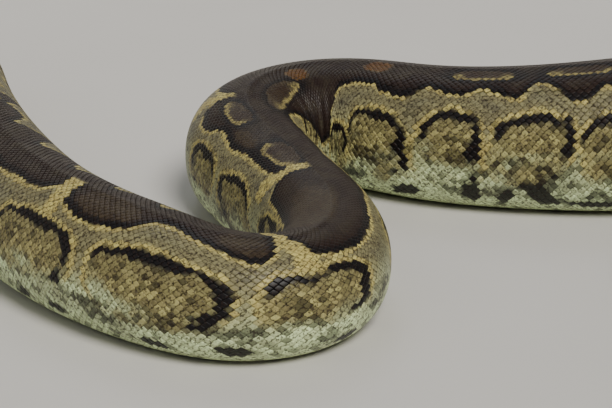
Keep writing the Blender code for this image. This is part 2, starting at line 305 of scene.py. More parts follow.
class Surface:
    """The skin's form as a fine grid, from which any place on the animal is read."""

    ROUND_COUNT = 161

    def __init__(self, line: Centreline, build: Build, head: HeadLines, inset: float) -> None:
        """Work out the grid.

        Args:
            line: The body's line on the floor.
            build: Its sizes.
            head: The head's lines.
            inset: How far inside the solids the skin lies.
        """
        self.line, self.build, self.head = line, build, head
        near = np.concatenate([[0.0, 0.00008, 0.0003, 0.0007], np.arange(0.0012, 0.150, 0.0007)])
        self.at = np.concatenate([near, np.linspace(0.150, line.length, 1400)])
        side, height, self.girth = build.outlines(self.at, line.length, self.ROUND_COUNT)
        side = np.hstack([-side[:, :0:-1], side])
        height = np.hstack([height[:, :0:-1], height])
        self.round = np.linspace(-1.0, 1.0, side.shape[1])
        self.side, self.height = side, height
        at = self.at[:, None]
        outer = line.place(at, side, height)
        normal = self._normals(outer)
        rise = head.relief(at, side, height) + self._spine() + self._folds(at, side)
        self.points = outer + normal * (rise - inset)[..., None]
        self.normals = self._normals(self.points)

    @staticmethod
    def _normals(points: np.ndarray) -> np.ndarray:
        """Outward normals of a grid of points."""
        normal = np.cross(np.gradient(points, axis=0), np.gradient(points, axis=1))
        return normal / np.maximum(np.linalg.norm(normal, axis=-1, keepdims=True), 1e-12)

    def _spine(self) -> np.ndarray:
        """The shallow dip on each side of the spine, which leaves it as a soft ridge."""
        across = np.abs(self.round)[None, :] * self.girth[:, None]
        size = self.girth[:, None] / 0.20
        dip = (1.0 - np.exp(-(across / (0.0050 * size)) ** 2)) * np.exp(-(across / (0.030 * size)) ** 2)
        return -0.0014 * size * dip * ramp(self.at, 0.13, 0.25)[:, None]

    def _folds(self, at: np.ndarray, side: np.ndarray) -> np.ndarray:
        """Creases of skin on the inner side of the tight bends."""
        bend = np.interp(at, self.line.along, self.line.curvature)
        squeeze = ramp(1.0 - bend * side, 0.62, 0.25)
        wave = 0.5 + 0.5 * np.cos(2.0 * math.pi * at / 0.019 + 1.5 * mottle(at / 0.05, side / 0.02, 5))
        return -0.0009 * squeeze * wave * (self.round ** 2 < 0.8)[None, :]

    def _corners(self, at: np.ndarray, around: np.ndarray) -> tuple[np.ndarray, ...]:
        """Grid cell and place in it for each point."""
        i = np.interp(at, self.at, np.arange(len(self.at)))
        j = (np.clip(around, -1.0, 1.0) + 1.0) * 0.5 * (len(self.round) - 1)
        i0 = np.minimum(i.astype(int), len(self.at) - 2)
        j0 = np.minimum(j.astype(int), len(self.round) - 2)
        return i0, j0, i - i0, j - j0

    def _read(self, grid: np.ndarray, at: np.ndarray, around: np.ndarray) -> np.ndarray:
        """Values of a grid between its points."""
        i, j, u, v = self._corners(*np.broadcast_arrays(np.asarray(at, float), np.asarray(around, float)))
        if grid.ndim == 3:
            u, v = u[..., None], v[..., None]
        low = grid[i, j] * (1.0 - u) + grid[i + 1, j] * u
        high = grid[i, j + 1] * (1.0 - u) + grid[i + 1, j + 1] * u
        return low * (1.0 - v) + high * v

    def spot(self, at: np.ndarray, around: np.ndarray, lift: np.ndarray | float = 0.0) -> np.ndarray:
        """Points over the skin.

        Args:
            at: Distances along the body.
            around: Shares of the way round.
            lift: Heights over the skin, along its normal.

        Returns:
            The points.
        """
        lift = np.asarray(lift, dtype=float)[..., None]
        return self._read(self.points, at, around) + self.normal(at, around) * lift

    def normal(self, at: np.ndarray, around: np.ndarray) -> np.ndarray:
        """Outward normals of the skin."""
        normal = self._read(self.normals, at, around)
        return normal / np.linalg.norm(normal, axis=-1, keepdims=True)

    def girth_at(self, at: np.ndarray) -> np.ndarray:
        """Run from the spine to the middle of the belly, over the skin."""
        return np.interp(at, self.at, self.girth)

    def tall_at(self, at: np.ndarray) -> np.ndarray:
        """Height of the body over the floor."""
        return np.interp(at, self.at, self.height.max(axis=1))

    def cross(self, at: np.ndarray, around: np.ndarray) -> tuple[np.ndarray, np.ndarray]:
        """Sideways place and height of points on the plain form."""
        return self._read(self.side, at, around), self._read(self.height, at, around)

    def round_at(self, at: float, height: float) -> float:
        """Share of the way round, on the right, at which the form has a given height."""
        middle = len(self.round) // 2
        i = int(np.searchsorted(self.at, at))
        falls = self.height[i, middle:]
        return float(np.interp(-height, -falls, self.round[middle:]))


def fitted_surface() -> Surface:
    """The skin's form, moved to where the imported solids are."""
    line, build, head = Centreline(), Build(), HeadLines()
    at = np.arange(0.0, 0.1400, 0.002)
    side, height, _ = build.outlines(at, line.length, Surface.ROUND_COUNT)
    both = np.hstack([-side, side]), np.hstack([height, height])
    points = line.place(at[:, None], *both).reshape(-1, 3)
    low, high = (np.array(corner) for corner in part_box("head"))
    offset = (low + high) / 2.0 - (points.min(axis=0) + points.max(axis=0)) / 2.0
    line.shift(offset[0], offset[1])
    return Surface(line, build, head, COAT_DEPTH)


# ---------------------------------------------------------------- markings
@dataclass(frozen=True)
class Patch:
    """One rounded mark: its place, and its half length along and half height round the body."""

    at: float
    around: float
    length: float
    height: float
    lean: float = 0.0

    def reach(self, at: np.ndarray, around: np.ndarray) -> tuple[np.ndarray, np.ndarray, np.ndarray]:
        """Distance from the mark's middle, 1 on its outline, and the two offsets it comes from."""
        down = (around - self.around) / self.height
        back = (at - self.at) / self.length - self.lean * down
        return (np.abs(back) ** 2.7 + np.abs(down) ** 2.7) ** (1.0 / 2.7), back, down


@dataclass
class Paint:
    """How much of each tone a set of places has, from 0 to 1, and each place's own small differences."""

    dark: np.ndarray
    edge: np.ndarray
    buff: np.ndarray
    olive: np.ndarray
    rust: np.ndarray
    pale: np.ndarray
    grain: np.ndarray

    def blend(self, other: "Paint", share: np.ndarray) -> "Paint":
        """These tones with a share of another's laid over them."""
        return Paint(*(getattr(self, name) * (1.0 - share) + getattr(other, name) * share
                       for name in Paint.__dataclass_fields__))

    def marks(self) -> np.ndarray:
        """The four main tones as one colour value for each place."""
        return np.stack([self.dark, self.edge, self.buff, self.olive], axis=-1)

    def tints(self, dome: np.ndarray) -> np.ndarray:
        """The other tones as one colour value for each place, with the height within the scale that sets its
        painted shade.
        """
        return np.stack(np.broadcast_arrays(self.rust, self.pale, self.grain, dome), axis=-1)


@dataclass
class Markings:
    """The rock python's pattern: dark saddles on the back, ringed blotches on the flanks.

    Edges give how far down each flank the saddles reach, as shares of the way round. Where the lists
    below say nothing, the pattern follows a rule of its own with the same sizes.
    """

    surface: Surface
    left_edge: Rows = (
        (0.950, 0.13), (1.020, 0.16), (1.075, 0.15), (1.098, 0.07), (1.115, 0.16), (1.150, 0.21),
        (1.180, 0.16), (1.196, 0.06), (1.215, 0.08), (1.240, 0.15), (1.262, 0.22), (1.275, 0.10),
        (1.290, 0.19), (1.310, 0.23), (1.345, 0.22), (1.380, 0.20), (1.420, 0.24), (1.470, 0.20),
        (1.520, 0.24), (1.570, 0.22), (1.610, 0.30), (1.650, 0.40), (1.690, 0.50), (1.712, 0.48),
        (1.724, 0.26), (1.745, 0.20), (1.765, 0.19), (1.799, 0.24), (1.817, 0.175), (1.840, 0.215),
        (1.858, 0.18), (1.884, 0.225), (1.899, 0.14), (1.915, 0.175), (1.934, 0.25), (1.952, 0.18),
        (1.975, 0.22), (1.995, 0.15))
    right_edge: Rows = (
        (1.250, 0.20), (1.290, 0.16), (1.330, 0.28), (1.390, 0.31), (1.425, 0.30), (1.442, 0.14),
        (1.458, 0.20), (1.500, 0.21), (1.525, 0.24), (1.550, 0.21), (1.574, 0.28), (1.590, 0.24),
        (1.602, 0.10), (1.620, 0.17), (1.660, 0.24), (1.700, 0.19))
    left_blotches: tuple[Patch, ...] = (
        Patch(0.995, 0.43, 0.036, 0.17), Patch(1.101, 0.41, 0.044, 0.150, -0.06),
        Patch(1.205, 0.42, 0.042, 0.18), Patch(1.289, 0.42, 0.027, 0.15), Patch(1.735, 0.53, 0.020, 0.125),
        Patch(1.784, 0.485, 0.026, 0.165, 0.14), Patch(1.837, 0.475, 0.023, 0.175, -0.05),
        Patch(1.896, 0.455, 0.030, 0.155, -0.16), Patch(1.963, 0.47, 0.029, 0.155))
    right_blotches: tuple[Patch, ...] = (
        Patch(1.395, 0.50, 0.034, 0.14), Patch(1.484, 0.48, 0.031, 0.15, -0.20),
        Patch(1.553, 0.45, 0.024, 0.12), Patch(1.640, 0.48, 0.034, 0.15))
    bands: Rows = (                 # at, from, to, half width, lean
        (1.096, -0.26, 0.02, 0.0075, -0.05), (1.277, -0.30, 0.16, 0.0060, -0.03),
        (1.443, 0.00, 0.36, 0.0055, 0.01), (1.601, 0.06, 0.34, 0.0060, 0.02))
    warm: tuple[Patch, ...] = (
        Patch(1.148, -0.10, 0.032, 0.110), Patch(1.250, -0.10, 0.018, 0.100),
        Patch(1.360, 0.10, 0.050, 0.150), Patch(1.520, 0.16, 0.020, 0.060))
    islands: tuple[Patch, ...] = (
        Patch(1.474, 0.075, 0.026, 0.075), Patch(1.565, 0.085, 0.022, 0.062),
        Patch(1.622, -0.16, 0.045, 0.062), Patch(1.856, -0.07, 0.026, 0.045),
        Patch(1.932, -0.06, 0.028, 0.040), Patch(1.996, -0.08, 0.022, 0.045))
    rusty: tuple[Patch, ...] = (
        Patch(1.677, -0.095, 0.012, 0.055), Patch(1.762, -0.055, 0.013, 0.050))
    nape_end: float = 0.172
    listed: tuple[float, float] = (0.94, 2.03)          # bands and islands are all given between these
    smears_listed: tuple[float, float] = (1.77, 1.99)
    # the head's own lines, by distance from the snout: half width, then height, then half height
    arrowhead: Rows = (
        (0.0, -0.0010), (0.0035, 0.0020), (0.010, 0.0062), (0.030, 0.0090), (0.042, 0.0118),
        (0.060, 0.0165), (0.085, 0.0235), (0.105, 0.0270), (0.130, 0.0225), (0.160, 0.0200))
    eye_stripe: Rows = (
        (0.0, 0.0190), (0.020, 0.0185), (0.042, 0.0205), (0.070, 0.0215), (0.100, 0.0205), (0.135, 0.0210))
    stripe_half: Rows = (
        (0.0, 0.0012), (0.020, 0.0020), (0.050, 0.0034), (0.100, 0.0056), (0.135, 0.0085))
    left_smears: tuple[Patch, ...] = (
        Patch(1.806, 0.70, 0.008, 0.040, -0.4), Patch(1.853, 0.665, 0.006, 0.055, 0.3),
        Patch(1.879, 0.705, 0.005, 0.060, -0.8), Patch(1.905, 0.67, 0.011, 0.050, 0.4),
        Patch(1.945, 0.725, 0.020, 0.028), Patch(1.976, 0.67, 0.009, 0.050, 0.3))
    seed: int = 11

    def __post_init__(self) -> None:
        """Fill the lists for the rest of the body by the rule."""
        dice = np.random.default_rng(self.seed)
        self.edges = {
            Flank.LEFT: self._edge(self.left_edge, dice), Flank.RIGHT: self._edge(self.right_edge, dice)}
        self.blotches = {
            Flank.LEFT: self._blotches(self.left_blotches, dice),
            Flank.RIGHT: self._blotches(self.right_blotches, dice)}
        self.smears = {
            flank: tuple(
                Patch(patch.at + dice.uniform(-0.4, 1.1) * patch.length, dice.uniform(0.66, 0.76),
                      dice.uniform(0.004, 0.012), dice.uniform(0.025, 0.055), dice.uniform(-0.8, 0.8))
                for patch in self.blotches[flank] for _ in range(2)
                if not (flank is Flank.LEFT and self.smears_listed[0] < patch.at < self.smears_listed[1]))
            for flank in Flank}
        self.smears[Flank.LEFT] += self.left_smears
        bands, islands = list(self.bands), list(self.islands)
        at = 0.26
        while at < 3.12:
            side = dice.choice([-1.0, 1.0])
            turn = dice.uniform(-0.05, 0.05)
            if not self.listed[0] < at < self.listed[1]:
                if dice.random() < 0.55:
                    start = -0.30 if side < 0 else -0.10
                    bands.append((at, start, start + 0.40, 0.0058, turn))
                else:
                    islands.append(Patch(at, 0.08 * side, dice.uniform(0.018, 0.03), 0.06))
            at += dice.uniform(0.050, 0.085)
        self.bands, self.islands = tuple(bands), tuple(islands)

    def _edge(self, said: Rows, dice: np.random.Generator) -> Rows:
        """A flank's saddle edge over the whole body."""
        first, last = said[0][0], said[-1][0]
        rows, at, deep = [], 0.15, True
        while at < 3.30:
            if not first - 0.02 < at < last + 0.02:
                rows.append((at, dice.uniform(0.19, 0.30) if deep else dice.uniform(0.09, 0.16)))
            deep = not deep
            at += dice.uniform(0.022, 0.040)
        return tuple(sorted(tuple(rows) + said))

    def _blotches(self, said: tuple[Patch, ...], dice: np.random.Generator) -> tuple[Patch, ...]:
        """A flank's ringed blotches over the whole body.

        Args:
            said: The blotches that are given.
            dice: The source of the others' sizes and places.

        Returns:
            All the blotches.
        """
        patches, at = list(said), 0.21
        first, last = said[0].at - said[0].length, said[-1].at + said[-1].length
        while at < 3.14:
            size = float(self.surface.tall_at(at)) / 0.11
            half = dice.uniform(0.024, 0.034) * max(size, 0.5)
            near = min(abs(at - patch.at) - patch.length - half for patch in said)
            if not first < at < last or near > 0.004:
                patches.append(Patch(at, dice.uniform(0.45, 0.50), half, dice.uniform(0.14, 0.19),
                                     dice.uniform(-0.15, 0.15)))
            at += 2.0 * half + dice.uniform(0.008, 0.016)
        return tuple(patches)

    def body(self, at: np.ndarray, around: np.ndarray) -> Paint:
        """The pattern of the neck, trunk and tail, with painted shade on the back and upper flanks.

        Args:
            at: Distances along the body.
            around: Shares of the way round.

        Returns:
            The tones at each place.
        """
        girth = self.surface.girth_at(at)
        run = around * girth
        wobble = mottle(at / 0.011, run / 0.011, 1) + 0.6 * mottle(at / 0.0047, run / 0.0047, 2)
        at_w = at + 0.0024 * mottle(at / 0.013, run / 0.013, 3)
        low = np.abs(around)
        zero = np.zeros_like(at, dtype=float)
        dark, edge, buff, olive, rust = (zero.copy() for _ in range(5))
        for flank in Flank:
            here = (np.sign(around) == flank.value) | ((around == 0.0) & (flank is Flank.RIGHT))
            down = monotone(self.edges[flank], at_w) + 0.010 * wobble
            depth = (down - low) * girth                    # metres inside the saddle
            inside = ramp(depth, -0.0008, 0.0008)
            worn = 0.10 * ramp(depth, 0.007, 0.018) * ramp(wobble, -0.6, 0.6)
            dark = np.where(here, inside * (1.0 - worn), dark)
            edge = np.where(here, inside * ramp(depth, 0.0085, 0.0040), edge)
            buff = np.where(here, self._halo(-depth) * (1.0 - inside), buff)
            for patch in self.blotches[flank]:
                near = here & (np.abs(at - patch.at) < 2.2 * patch.length)
                if not near.any():
                    continue
                r, back, downward = patch.reach(at_w[near], low[near])
                r = r + 0.07 * wobble[near]
                tall = patch.height * girth[near]
                tailward = np.clip(back / np.maximum(r, 0.2), 0.0, 1.0) * ramp(downward, 1.0, 0.62)
                facing = np.maximum(tailward, np.clip(0.10 - 0.80 * downward / np.maximum(r, 0.2), 0.0, 1.0))
                lumps = 1.0 + 0.45 * mottle(at[near] / 0.0075, run[near] / 0.0075, 16)
                metres = np.hypot(back * patch.length, downward * tall) / np.maximum(r, 0.2)
                thick = (0.0014 + 0.0066 * facing) * lumps / np.maximum(metres, 0.008)
                within = ramp(r, 1.03, 0.97)
                rim = within * ramp(r, 1.0 - thick - 0.05, 1.0 - thick + 0.02)
                gaps = ramp(mottle(at[near] / 0.013, run[near] / 0.013, 15), 0.12, 0.28)
                rim = rim * ramp(facing, 0.12, 0.42) * (1.0 - ramp(downward, 0.05, 0.30) * gaps)
                halo = self._halo((r - 1.0) * metres) * (1.0 - within)
                keep = 1.0 - dark[near]
                olive[near] = np.maximum(olive[near], within * keep * (1.0 - 0.6 * rim))
                edge[near] = np.maximum(edge[near], rim * (1.0 - 0.5 * dark[near]))
                buff[near] = np.maximum(buff[near], halo * keep * ramp(downward, 1.1, 0.2))
            for patch in self.smears[flank]:
                near = here & (np.abs(at - patch.at) < 4.0 * patch.length + 0.01)
                if near.any():
                    r, _, _ = patch.reach(at_w[near], low[near])
                    edge[near] = np.maximum(edge[near], 0.97 * ramp(r + 0.42 * wobble[near], 1.1, 0.85))
        for place, start, end, half, lean in self.bands:
            off = np.abs(at_w - place - lean * around + 0.0016 * wobble) - half
            span = ramp(around, start - 0.02, start + 0.02) * ramp(around, end + 0.02, end - 0.02)
            band, rim = ramp(off, 0.001, -0.001) * span, ramp(off, 0.0055, 0.0015) * span
            edge = np.maximum(edge, rim * dark)
            dark, edge, buff = dark * (1.0 - band), edge * (1.0 - band), np.maximum(buff, band)
        for patch in self.islands:
            r, _, downward = patch.reach(at_w, around)
            r = r + 0.08 * wobble
            line = 0.0022 / (patch.height * girth)
            within = ramp(r, 1.02, 0.96)
            outer = 0.08 + 0.92 * ramp(downward * math.copysign(1.0, patch.around), -0.5, 0.3)
            ring = within * ramp(r, 1.0 - 1.8 * line - 0.06, 1.0 - line) * outer
            edge = np.maximum(edge * (1.0 - within), ramp(r, 1.0 + 2.8 * line, 1.02) * (1.0 - within) * dark)
            rust = np.maximum(rust, 0.10 * within * dark)
            dark = dark * (1.0 - 0.04 * within) * (1.0 - 0.62 * ring)
            buff = np.maximum(buff, 0.85 * ring)
        for patch in self.warm:
            r, _, _ = patch.reach(at_w, around)
            within = ramp(r + 0.15 * wobble, 1.0, 0.75) * dark * (1.0 - edge)
            dark, rust = dark * (1.0 - 0.13 * within), np.maximum(rust, 0.10 * within)
        for patch in self.rusty:
            r, _, _ = patch.reach(at_w, around)
            within = ramp(r + 0.10 * wobble, 1.05, 0.85)
            rust = np.maximum(rust, within)
            dark, edge = dark * (1.0 - within), edge * (1.0 - within)
        tail = ramp(at, VENT_AT - 0.06, VENT_AT + 0.04)
        stripe = ramp(low + 0.03 * wobble, 0.24, 0.17)
        band = ramp(low + 0.03 * wobble, 0.60, 0.50) * (1.0 - stripe)
        dark = dark * (1.0 - tail) + tail * band
        edge = edge * (1.0 - tail) + tail * ramp(np.abs(low - 0.24), 0.05, 0.02) * (1.0 - stripe)
        buff = buff * (1.0 - tail) + tail * stripe
        olive = olive * (1.0 - tail)
        # Painted shade: the back and upper flanks are darkened through the dark tone, fading out towards mid
        # flank; not on buff, olive or rust marks, nor on the tail.
        painted_shade = 0.32 * ramp(low, 0.46, 0.30) * (1.0 - buff) * (1.0 - olive) * (1.0 - rust)
        dark = dark + (1.0 - dark) * painted_shade * (1.0 - tail)
        cloud = 0.105 * mottle(at / 0.026, run / 0.016, 4) + 0.04 * wobble
        pale = 0.36 * ramp(low, 0.32, 0.52) + 0.64 * ramp(low + cloud, 0.50, 0.66)
        paint = self._specked(at, around, run, Paint(
            dark, edge, buff, olive * (1.0 - 0.80 * ramp(low + cloud, 0.48, 0.62)), rust,
            pale * (1.0 - 0.3 * tail), zero))
        nape = at < self.nape_end
        if nape.any():
            head = self.head(at[nape], *self.surface.cross(at[nape], around[nape]))
            share = ramp(at[nape], self.nape_end, HEAD_END + 0.005)
            for name in Paint.__dataclass_fields__:
                tone = getattr(paint, name)
                tone[nape] = tone[nape] * (1.0 - share) + getattr(head, name) * share
        return paint

    @staticmethod
    def _halo(off: np.ndarray) -> np.ndarray:
        """How buff the ground is at a distance outside a dark mark, in metres."""
        return np.maximum(0.95 * ramp(off, 0.0054, 0.0026), 0.20 * ramp(off, 0.0160, 0.0070))

    def _specked(self, at: np.ndarray, around: np.ndarray, run: np.ndarray, paint: Paint) -> Paint:
        """Add dark specks on the flanks and the small differences between scales.

        Args:
            at: Distances along the body.
            around: Shares of the way round.
            run: The same as lengths over the skin.
            paint: The tones, which are changed in place.

        Returns:
            The tones.
        """
        dice = np.random.default_rng(self.seed + 1)
        chance = self._chances(dice, at)
        clump = mottle(at / 0.017, run / 0.012, 7) + 0.5 * mottle(at / 0.006, run / 0.006, 8)
        low = np.abs(around)
        open_ground = (1.0 - paint.dark) * (1.0 - paint.edge)
        often = 0.03 + 0.30 * paint.olive * ramp(clump, -0.2, 0.9) + 0.10 * ramp(low, 0.44, 0.56)
        speck = (chance < often) * open_ground * ramp(low, 0.2, 0.3)
        smear = ramp(mottle(at / 0.020, run / 0.013, 9) + 0.5 * clump, 0.80, 1.00) * ramp(low, 0.56, 0.64)
        paint.edge = np.maximum(paint.edge, np.maximum(0.62 * speck, 0.9 * smear * ramp(low, 0.84, 0.76)))
        murky = ramp(mottle(at / 0.015, run / 0.009, 41) + 0.35 * clump, 0.28, 0.55) * open_ground
        murky = murky * ramp(low, 0.45, 0.52) * ramp(low, 0.72, 0.66) * (0.25 + 0.55 * (chance > 0.45))
        paint.edge = np.maximum(paint.edge, murky)
        bright = (self._chances(dice, at) < 0.42) * paint.olive * ramp(low, 0.28, 0.42)
        paint.buff = np.maximum(paint.buff, 0.70 * bright)
        paint.olive = paint.olive * (1.0 - 0.7 * bright)
        paint.grain = self._chances(dice, at)
        return paint

    @staticmethod
    def _chances(dice: np.random.Generator, like: np.ndarray) -> np.ndarray:
        """One chance for each scale, shared by all its points."""
        own = dice.random(len(like))
        return own if like.ndim == 1 else np.repeat(own[:, None], like.shape[1], axis=1)

    def belly(self, at: np.ndarray, around: np.ndarray) -> Paint:
        """The pattern of the belly plates: cream, with dark marks towards their ends."""
        run = around * self.surface.girth_at(at)
        low = np.abs(around)
        clump = mottle(at / 0.030, run / 0.020, 21) + 0.4 * mottle(at / 0.008, run / 0.008, 22)
        dirty = ramp(clump + 0.9 * ramp(low, 0.97, 0.84), 0.85, 1.05)
        dirty = dirty + ramp(at, 3.1, 3.3) * ramp(clump, 0.0, 0.3)
        zero = np.zeros_like(at, dtype=float)
        grain = 0.5 + 0.5 * mottle(at / 0.004, run / 0.1, 23)
        return Paint(zero, np.clip(0.85 * dirty, 0.0, 0.9), zero + 0.15, zero, zero, zero + 1.0, grain)

    def head(self, at: np.ndarray, side: np.ndarray, height: np.ndarray) -> Paint:
        """The pattern of the head: a dark arrowhead edged with buff, a stripe through the eye.

        Args:
            at: Distances from the snout.
            side: Distances from the middle plane.
            height: Heights over the floor.

        Returns:
            The tones at each place.
        """
        across = np.abs(side) + 0.0006 * mottle(at / 0.005, side / 0.005, 31)
        top = np.interp(at, self.surface.at, self.surface.height.max(axis=1))
        upper = ramp(height / top, 0.56, 0.66)
        depth = monotone(self.arrowhead, at) - across
        dark = ramp(depth, -0.0005, 0.0005) * upper
        edge = dark * ramp(depth, 0.0045, 0.0015) * 0.8
        line = ramp(depth, 0.0, -0.0008) * ramp(depth, -0.0062, -0.0044) * ramp(height / top, 0.50, 0.62)
        crown_spot = np.hypot((at - 0.088) / 0.0100, across / 0.0028)
        spot = ramp(crown_spot + 0.2 * mottle(at / 0.004, side / 0.004, 33), 1.1, 0.8)
        off_stripe = np.abs(height - monotone(self.eye_stripe, at)) - monotone(self.stripe_half, at)
        stripe = ramp(off_stripe, 0.0006, -0.0006) * (1.0 - dark)
        stripe = stripe * (1.0 - line)
        mouth = monotone(self.surface.head.mouth, at)
        wedge_half = 0.0030 + 0.45 * np.clip(0.0200 - height, 0.0, 0.02)
        wedge = ramp(np.abs(at - 0.0445) - wedge_half, 0.0006, -0.0006) * (height < 0.021) * (height > mouth)
        bars = ramp(np.abs(np.mod(at - 0.004, 0.0148) - 0.0074), 0.0052, 0.0062) * (height < mouth)
        chin = ramp(height, mouth + 0.001, mouth - 0.002)
        lips = ramp(height, mouth + 0.0068, mouth + 0.0058)
        dusk = 0.55 * bars * ramp(height, 0.002, 0.005)
        dark = np.maximum(np.maximum(dark * (1.0 - spot), stripe), np.maximum(wedge, dusk))
        edge = np.maximum(edge * (1.0 - spot), 0.4 * stripe)
        cheek = 0.28 + 0.22 * mottle(at / 0.006, side / 0.006 + height / 0.006, 35)
        plain = np.maximum(cheek, 0.8 * lips) * (1.0 - dark)
        buff = np.maximum(np.maximum(line, spot), plain) * (1.0 - 0.7 * chin)
        grain = np.random.default_rng(self.seed + 2).random(np.shape(at))
        return Paint(dark, edge, buff, 0.0 * at, 0.0 * at, 0.25 * lips + 0.75 * chin, grain)


# ---------------------------------------------------------------- meshes
def linked(name: str, data: bpy.types.ID) -> bpy.types.Object:
    """A new object in the scene."""
    piece = bpy.data.objects.new(name, data)
    bpy.context.scene.collection.objects.link(piece)
    return piece


class Maker:
    """Turns arrays of points and triangles into finished, smooth objects at the origin."""

    @staticmethod
    def build(name: str, points: np.ndarray, triangles: np.ndarray, paint: np.ndarray | None = None,
              tints: np.ndarray | None = None, places: np.ndarray | None = None) -> bpy.types.Object:
        """Make one object.

        Args:
            name: Its name.
            points: Its vertices.
            triangles: Three vertex numbers for each face.
            paint: The main tones at each vertex.
            tints: The other tones at each vertex.
            places: Each vertex's place on the unwrap of the skin, from 0 to 1.

        Returns:
            The object.
        """
        mesh = bpy.data.meshes.new(name)
        points = np.ascontiguousarray(points, dtype=np.float32)
        triangles = np.ascontiguousarray(triangles, dtype=np.int32)
        mesh.vertices.add(len(points))
        mesh.vertices.foreach_set("co", points.ravel())
        mesh.loops.add(triangles.size)
        mesh.loops.foreach_set("vertex_index", triangles.ravel())
        mesh.polygons.add(len(triangles))
        mesh.polygons.foreach_set("loop_start", np.arange(0, triangles.size, 3, dtype=np.int32))
        mesh.update(calc_edges=True)
        for label, values in (("marks", paint), ("tints", tints)):
            if values is not None:
                layer = mesh.attributes.new(label, "FLOAT_COLOR", "POINT")
                layer.data.foreach_set("color", np.ascontiguousarray(values, dtype=np.float32).ravel())
        if places is not None:
            layer = mesh.uv_layers.new(name="OFBake", do_init=False)
            corners = places if len(places) == triangles.size else places[triangles.ravel()]
            layer.uv.foreach_set("vector", np.ascontiguousarray(corners, dtype=np.float32).ravel())
        mesh.shade_smooth()
        return linked(name, mesh)


def settle(piece: bpy.types.Object, material: bpy.types.Material, slot: str, *nodes: str) -> None:
    """Dress a piece, fix it to the body and hide the solids that it stands for.

    Args:
        piece: The finished piece.
        material: Its material.
        slot: Not used.
        nodes: The solids that it replaces.
    """
    piece.data.materials.clear()
    piece.data.materials.append(material)
    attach(piece, "root")
    if nodes:
        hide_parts(*nodes)
    LOG.info("%s: %d faces", piece.name, len(piece.data.polygons))


@dataclass
class Skin:
    """The one skin under the scales, from snout to tail tip."""

    surface: Surface
    markings: Markings
    around: int = 128
    head_step: float = 0.00085
    body_step: float = 0.0085
    unwrap_rows: int = 4

    def build(self) -> bpy.types.Object:
        """Make the skin as one closed tube."""
        length = self.surface.line.length
        tip = [0.0, 0.0002, 0.0005, 0.0008, 0.0012]
        at = np.concatenate([tip, np.arange(0.0019, HEAD_END, self.head_step),
                             np.arange(HEAD_END + 0.002, length - 0.014, self.body_step),
                             length - 0.014 * np.array([1.0, 0.8, 0.6, 0.4, 0.22, 0.1, 0.03, 0.0])])
        share = np.linspace(-1.0, 1.0, self.around + 1)[:-1]
        grid_at, grid_round = np.meshgrid(at, share, indexing="ij")
        points = self.surface.spot(grid_at, grid_round).reshape(-1, 3)
        rings, count = grid_at.shape
        index = np.arange(rings * count).reshape(rings, count)
        a, b = index[:-1], index[1:]
        a1, b1 = np.roll(a, -1, axis=1), np.roll(b, -1, axis=1)
        walls = np.concatenate([np.stack(three, -1).reshape(-1, 3) for three in ((a, b, b1), (a, b1, a1))])
        ends = [points[index[0]].mean(axis=0), points[index[-1]].mean(axis=0)]
        near, far = len(points), len(points) + 1
        points = np.vstack([points, ends])
        caps = np.concatenate([
            np.stack([np.roll(index[0], -1), np.full(count, near), index[0]], -1),
            np.stack([index[-1], np.full(count, far), np.roll(index[-1], -1)], -1)])
        triangles = np.concatenate([walls, caps])
        flat_at = np.append(grid_at.ravel(), [0.0, length])
        flat_round = np.append(grid_round.ravel(), [0.0, 0.0])
        tones = self._tones(flat_at, flat_round)
        corner_at, corner_round = flat_at[triangles], flat_round[triangles]
        wraps = (np.ptp(corner_round, axis=1) > 1.0)[:, None]
        corner_round = np.where(wraps & (corner_round < 0.0), corner_round + 2.0, corner_round)
        strip = (corner_at.mean(axis=1) / length * self.unwrap_rows).astype(int)
        strip = np.clip(strip, 0, self.unwrap_rows - 1)
        u = corner_at / length * self.unwrap_rows - strip[:, None]
        v = (strip[:, None] + 0.02 + 0.95 * (corner_round + 1.0) / 2.0) / self.unwrap_rows
        places = np.clip(np.stack([u, v], -1), 0.0, 1.0).reshape(-1, 2)
        # The whole skin stands at a quarter of a scale's height, for its painted shade.
        return Maker.build("python_skin", points, triangles, tones.marks(),
                           tones.tints(np.array(0.25)), places)

    def _tones(self, at: np.ndarray, around: np.ndarray) -> Paint:
        """The skin's own copy of the markings.

        Args:
            at: Distances along the body.
            around: Shares of the way round.

        Returns:
            The tones, with the belly's and the head's blended in.
        """
        body = self.markings.body(at, around)
        belly = self.markings.belly(at, around)
        side, height = self.surface.cross(at, around)
        head = self.markings.head(at, side, height)
        border = BellyPlates.edge_at(self.surface, at)
        under = ramp(np.abs(around), border - 0.01, border + 0.01)
        on_head = ramp(at, HEAD_END + 0.012, HEAD_END - 0.008)
        return body.blend(belly, under).blend(head, on_head)


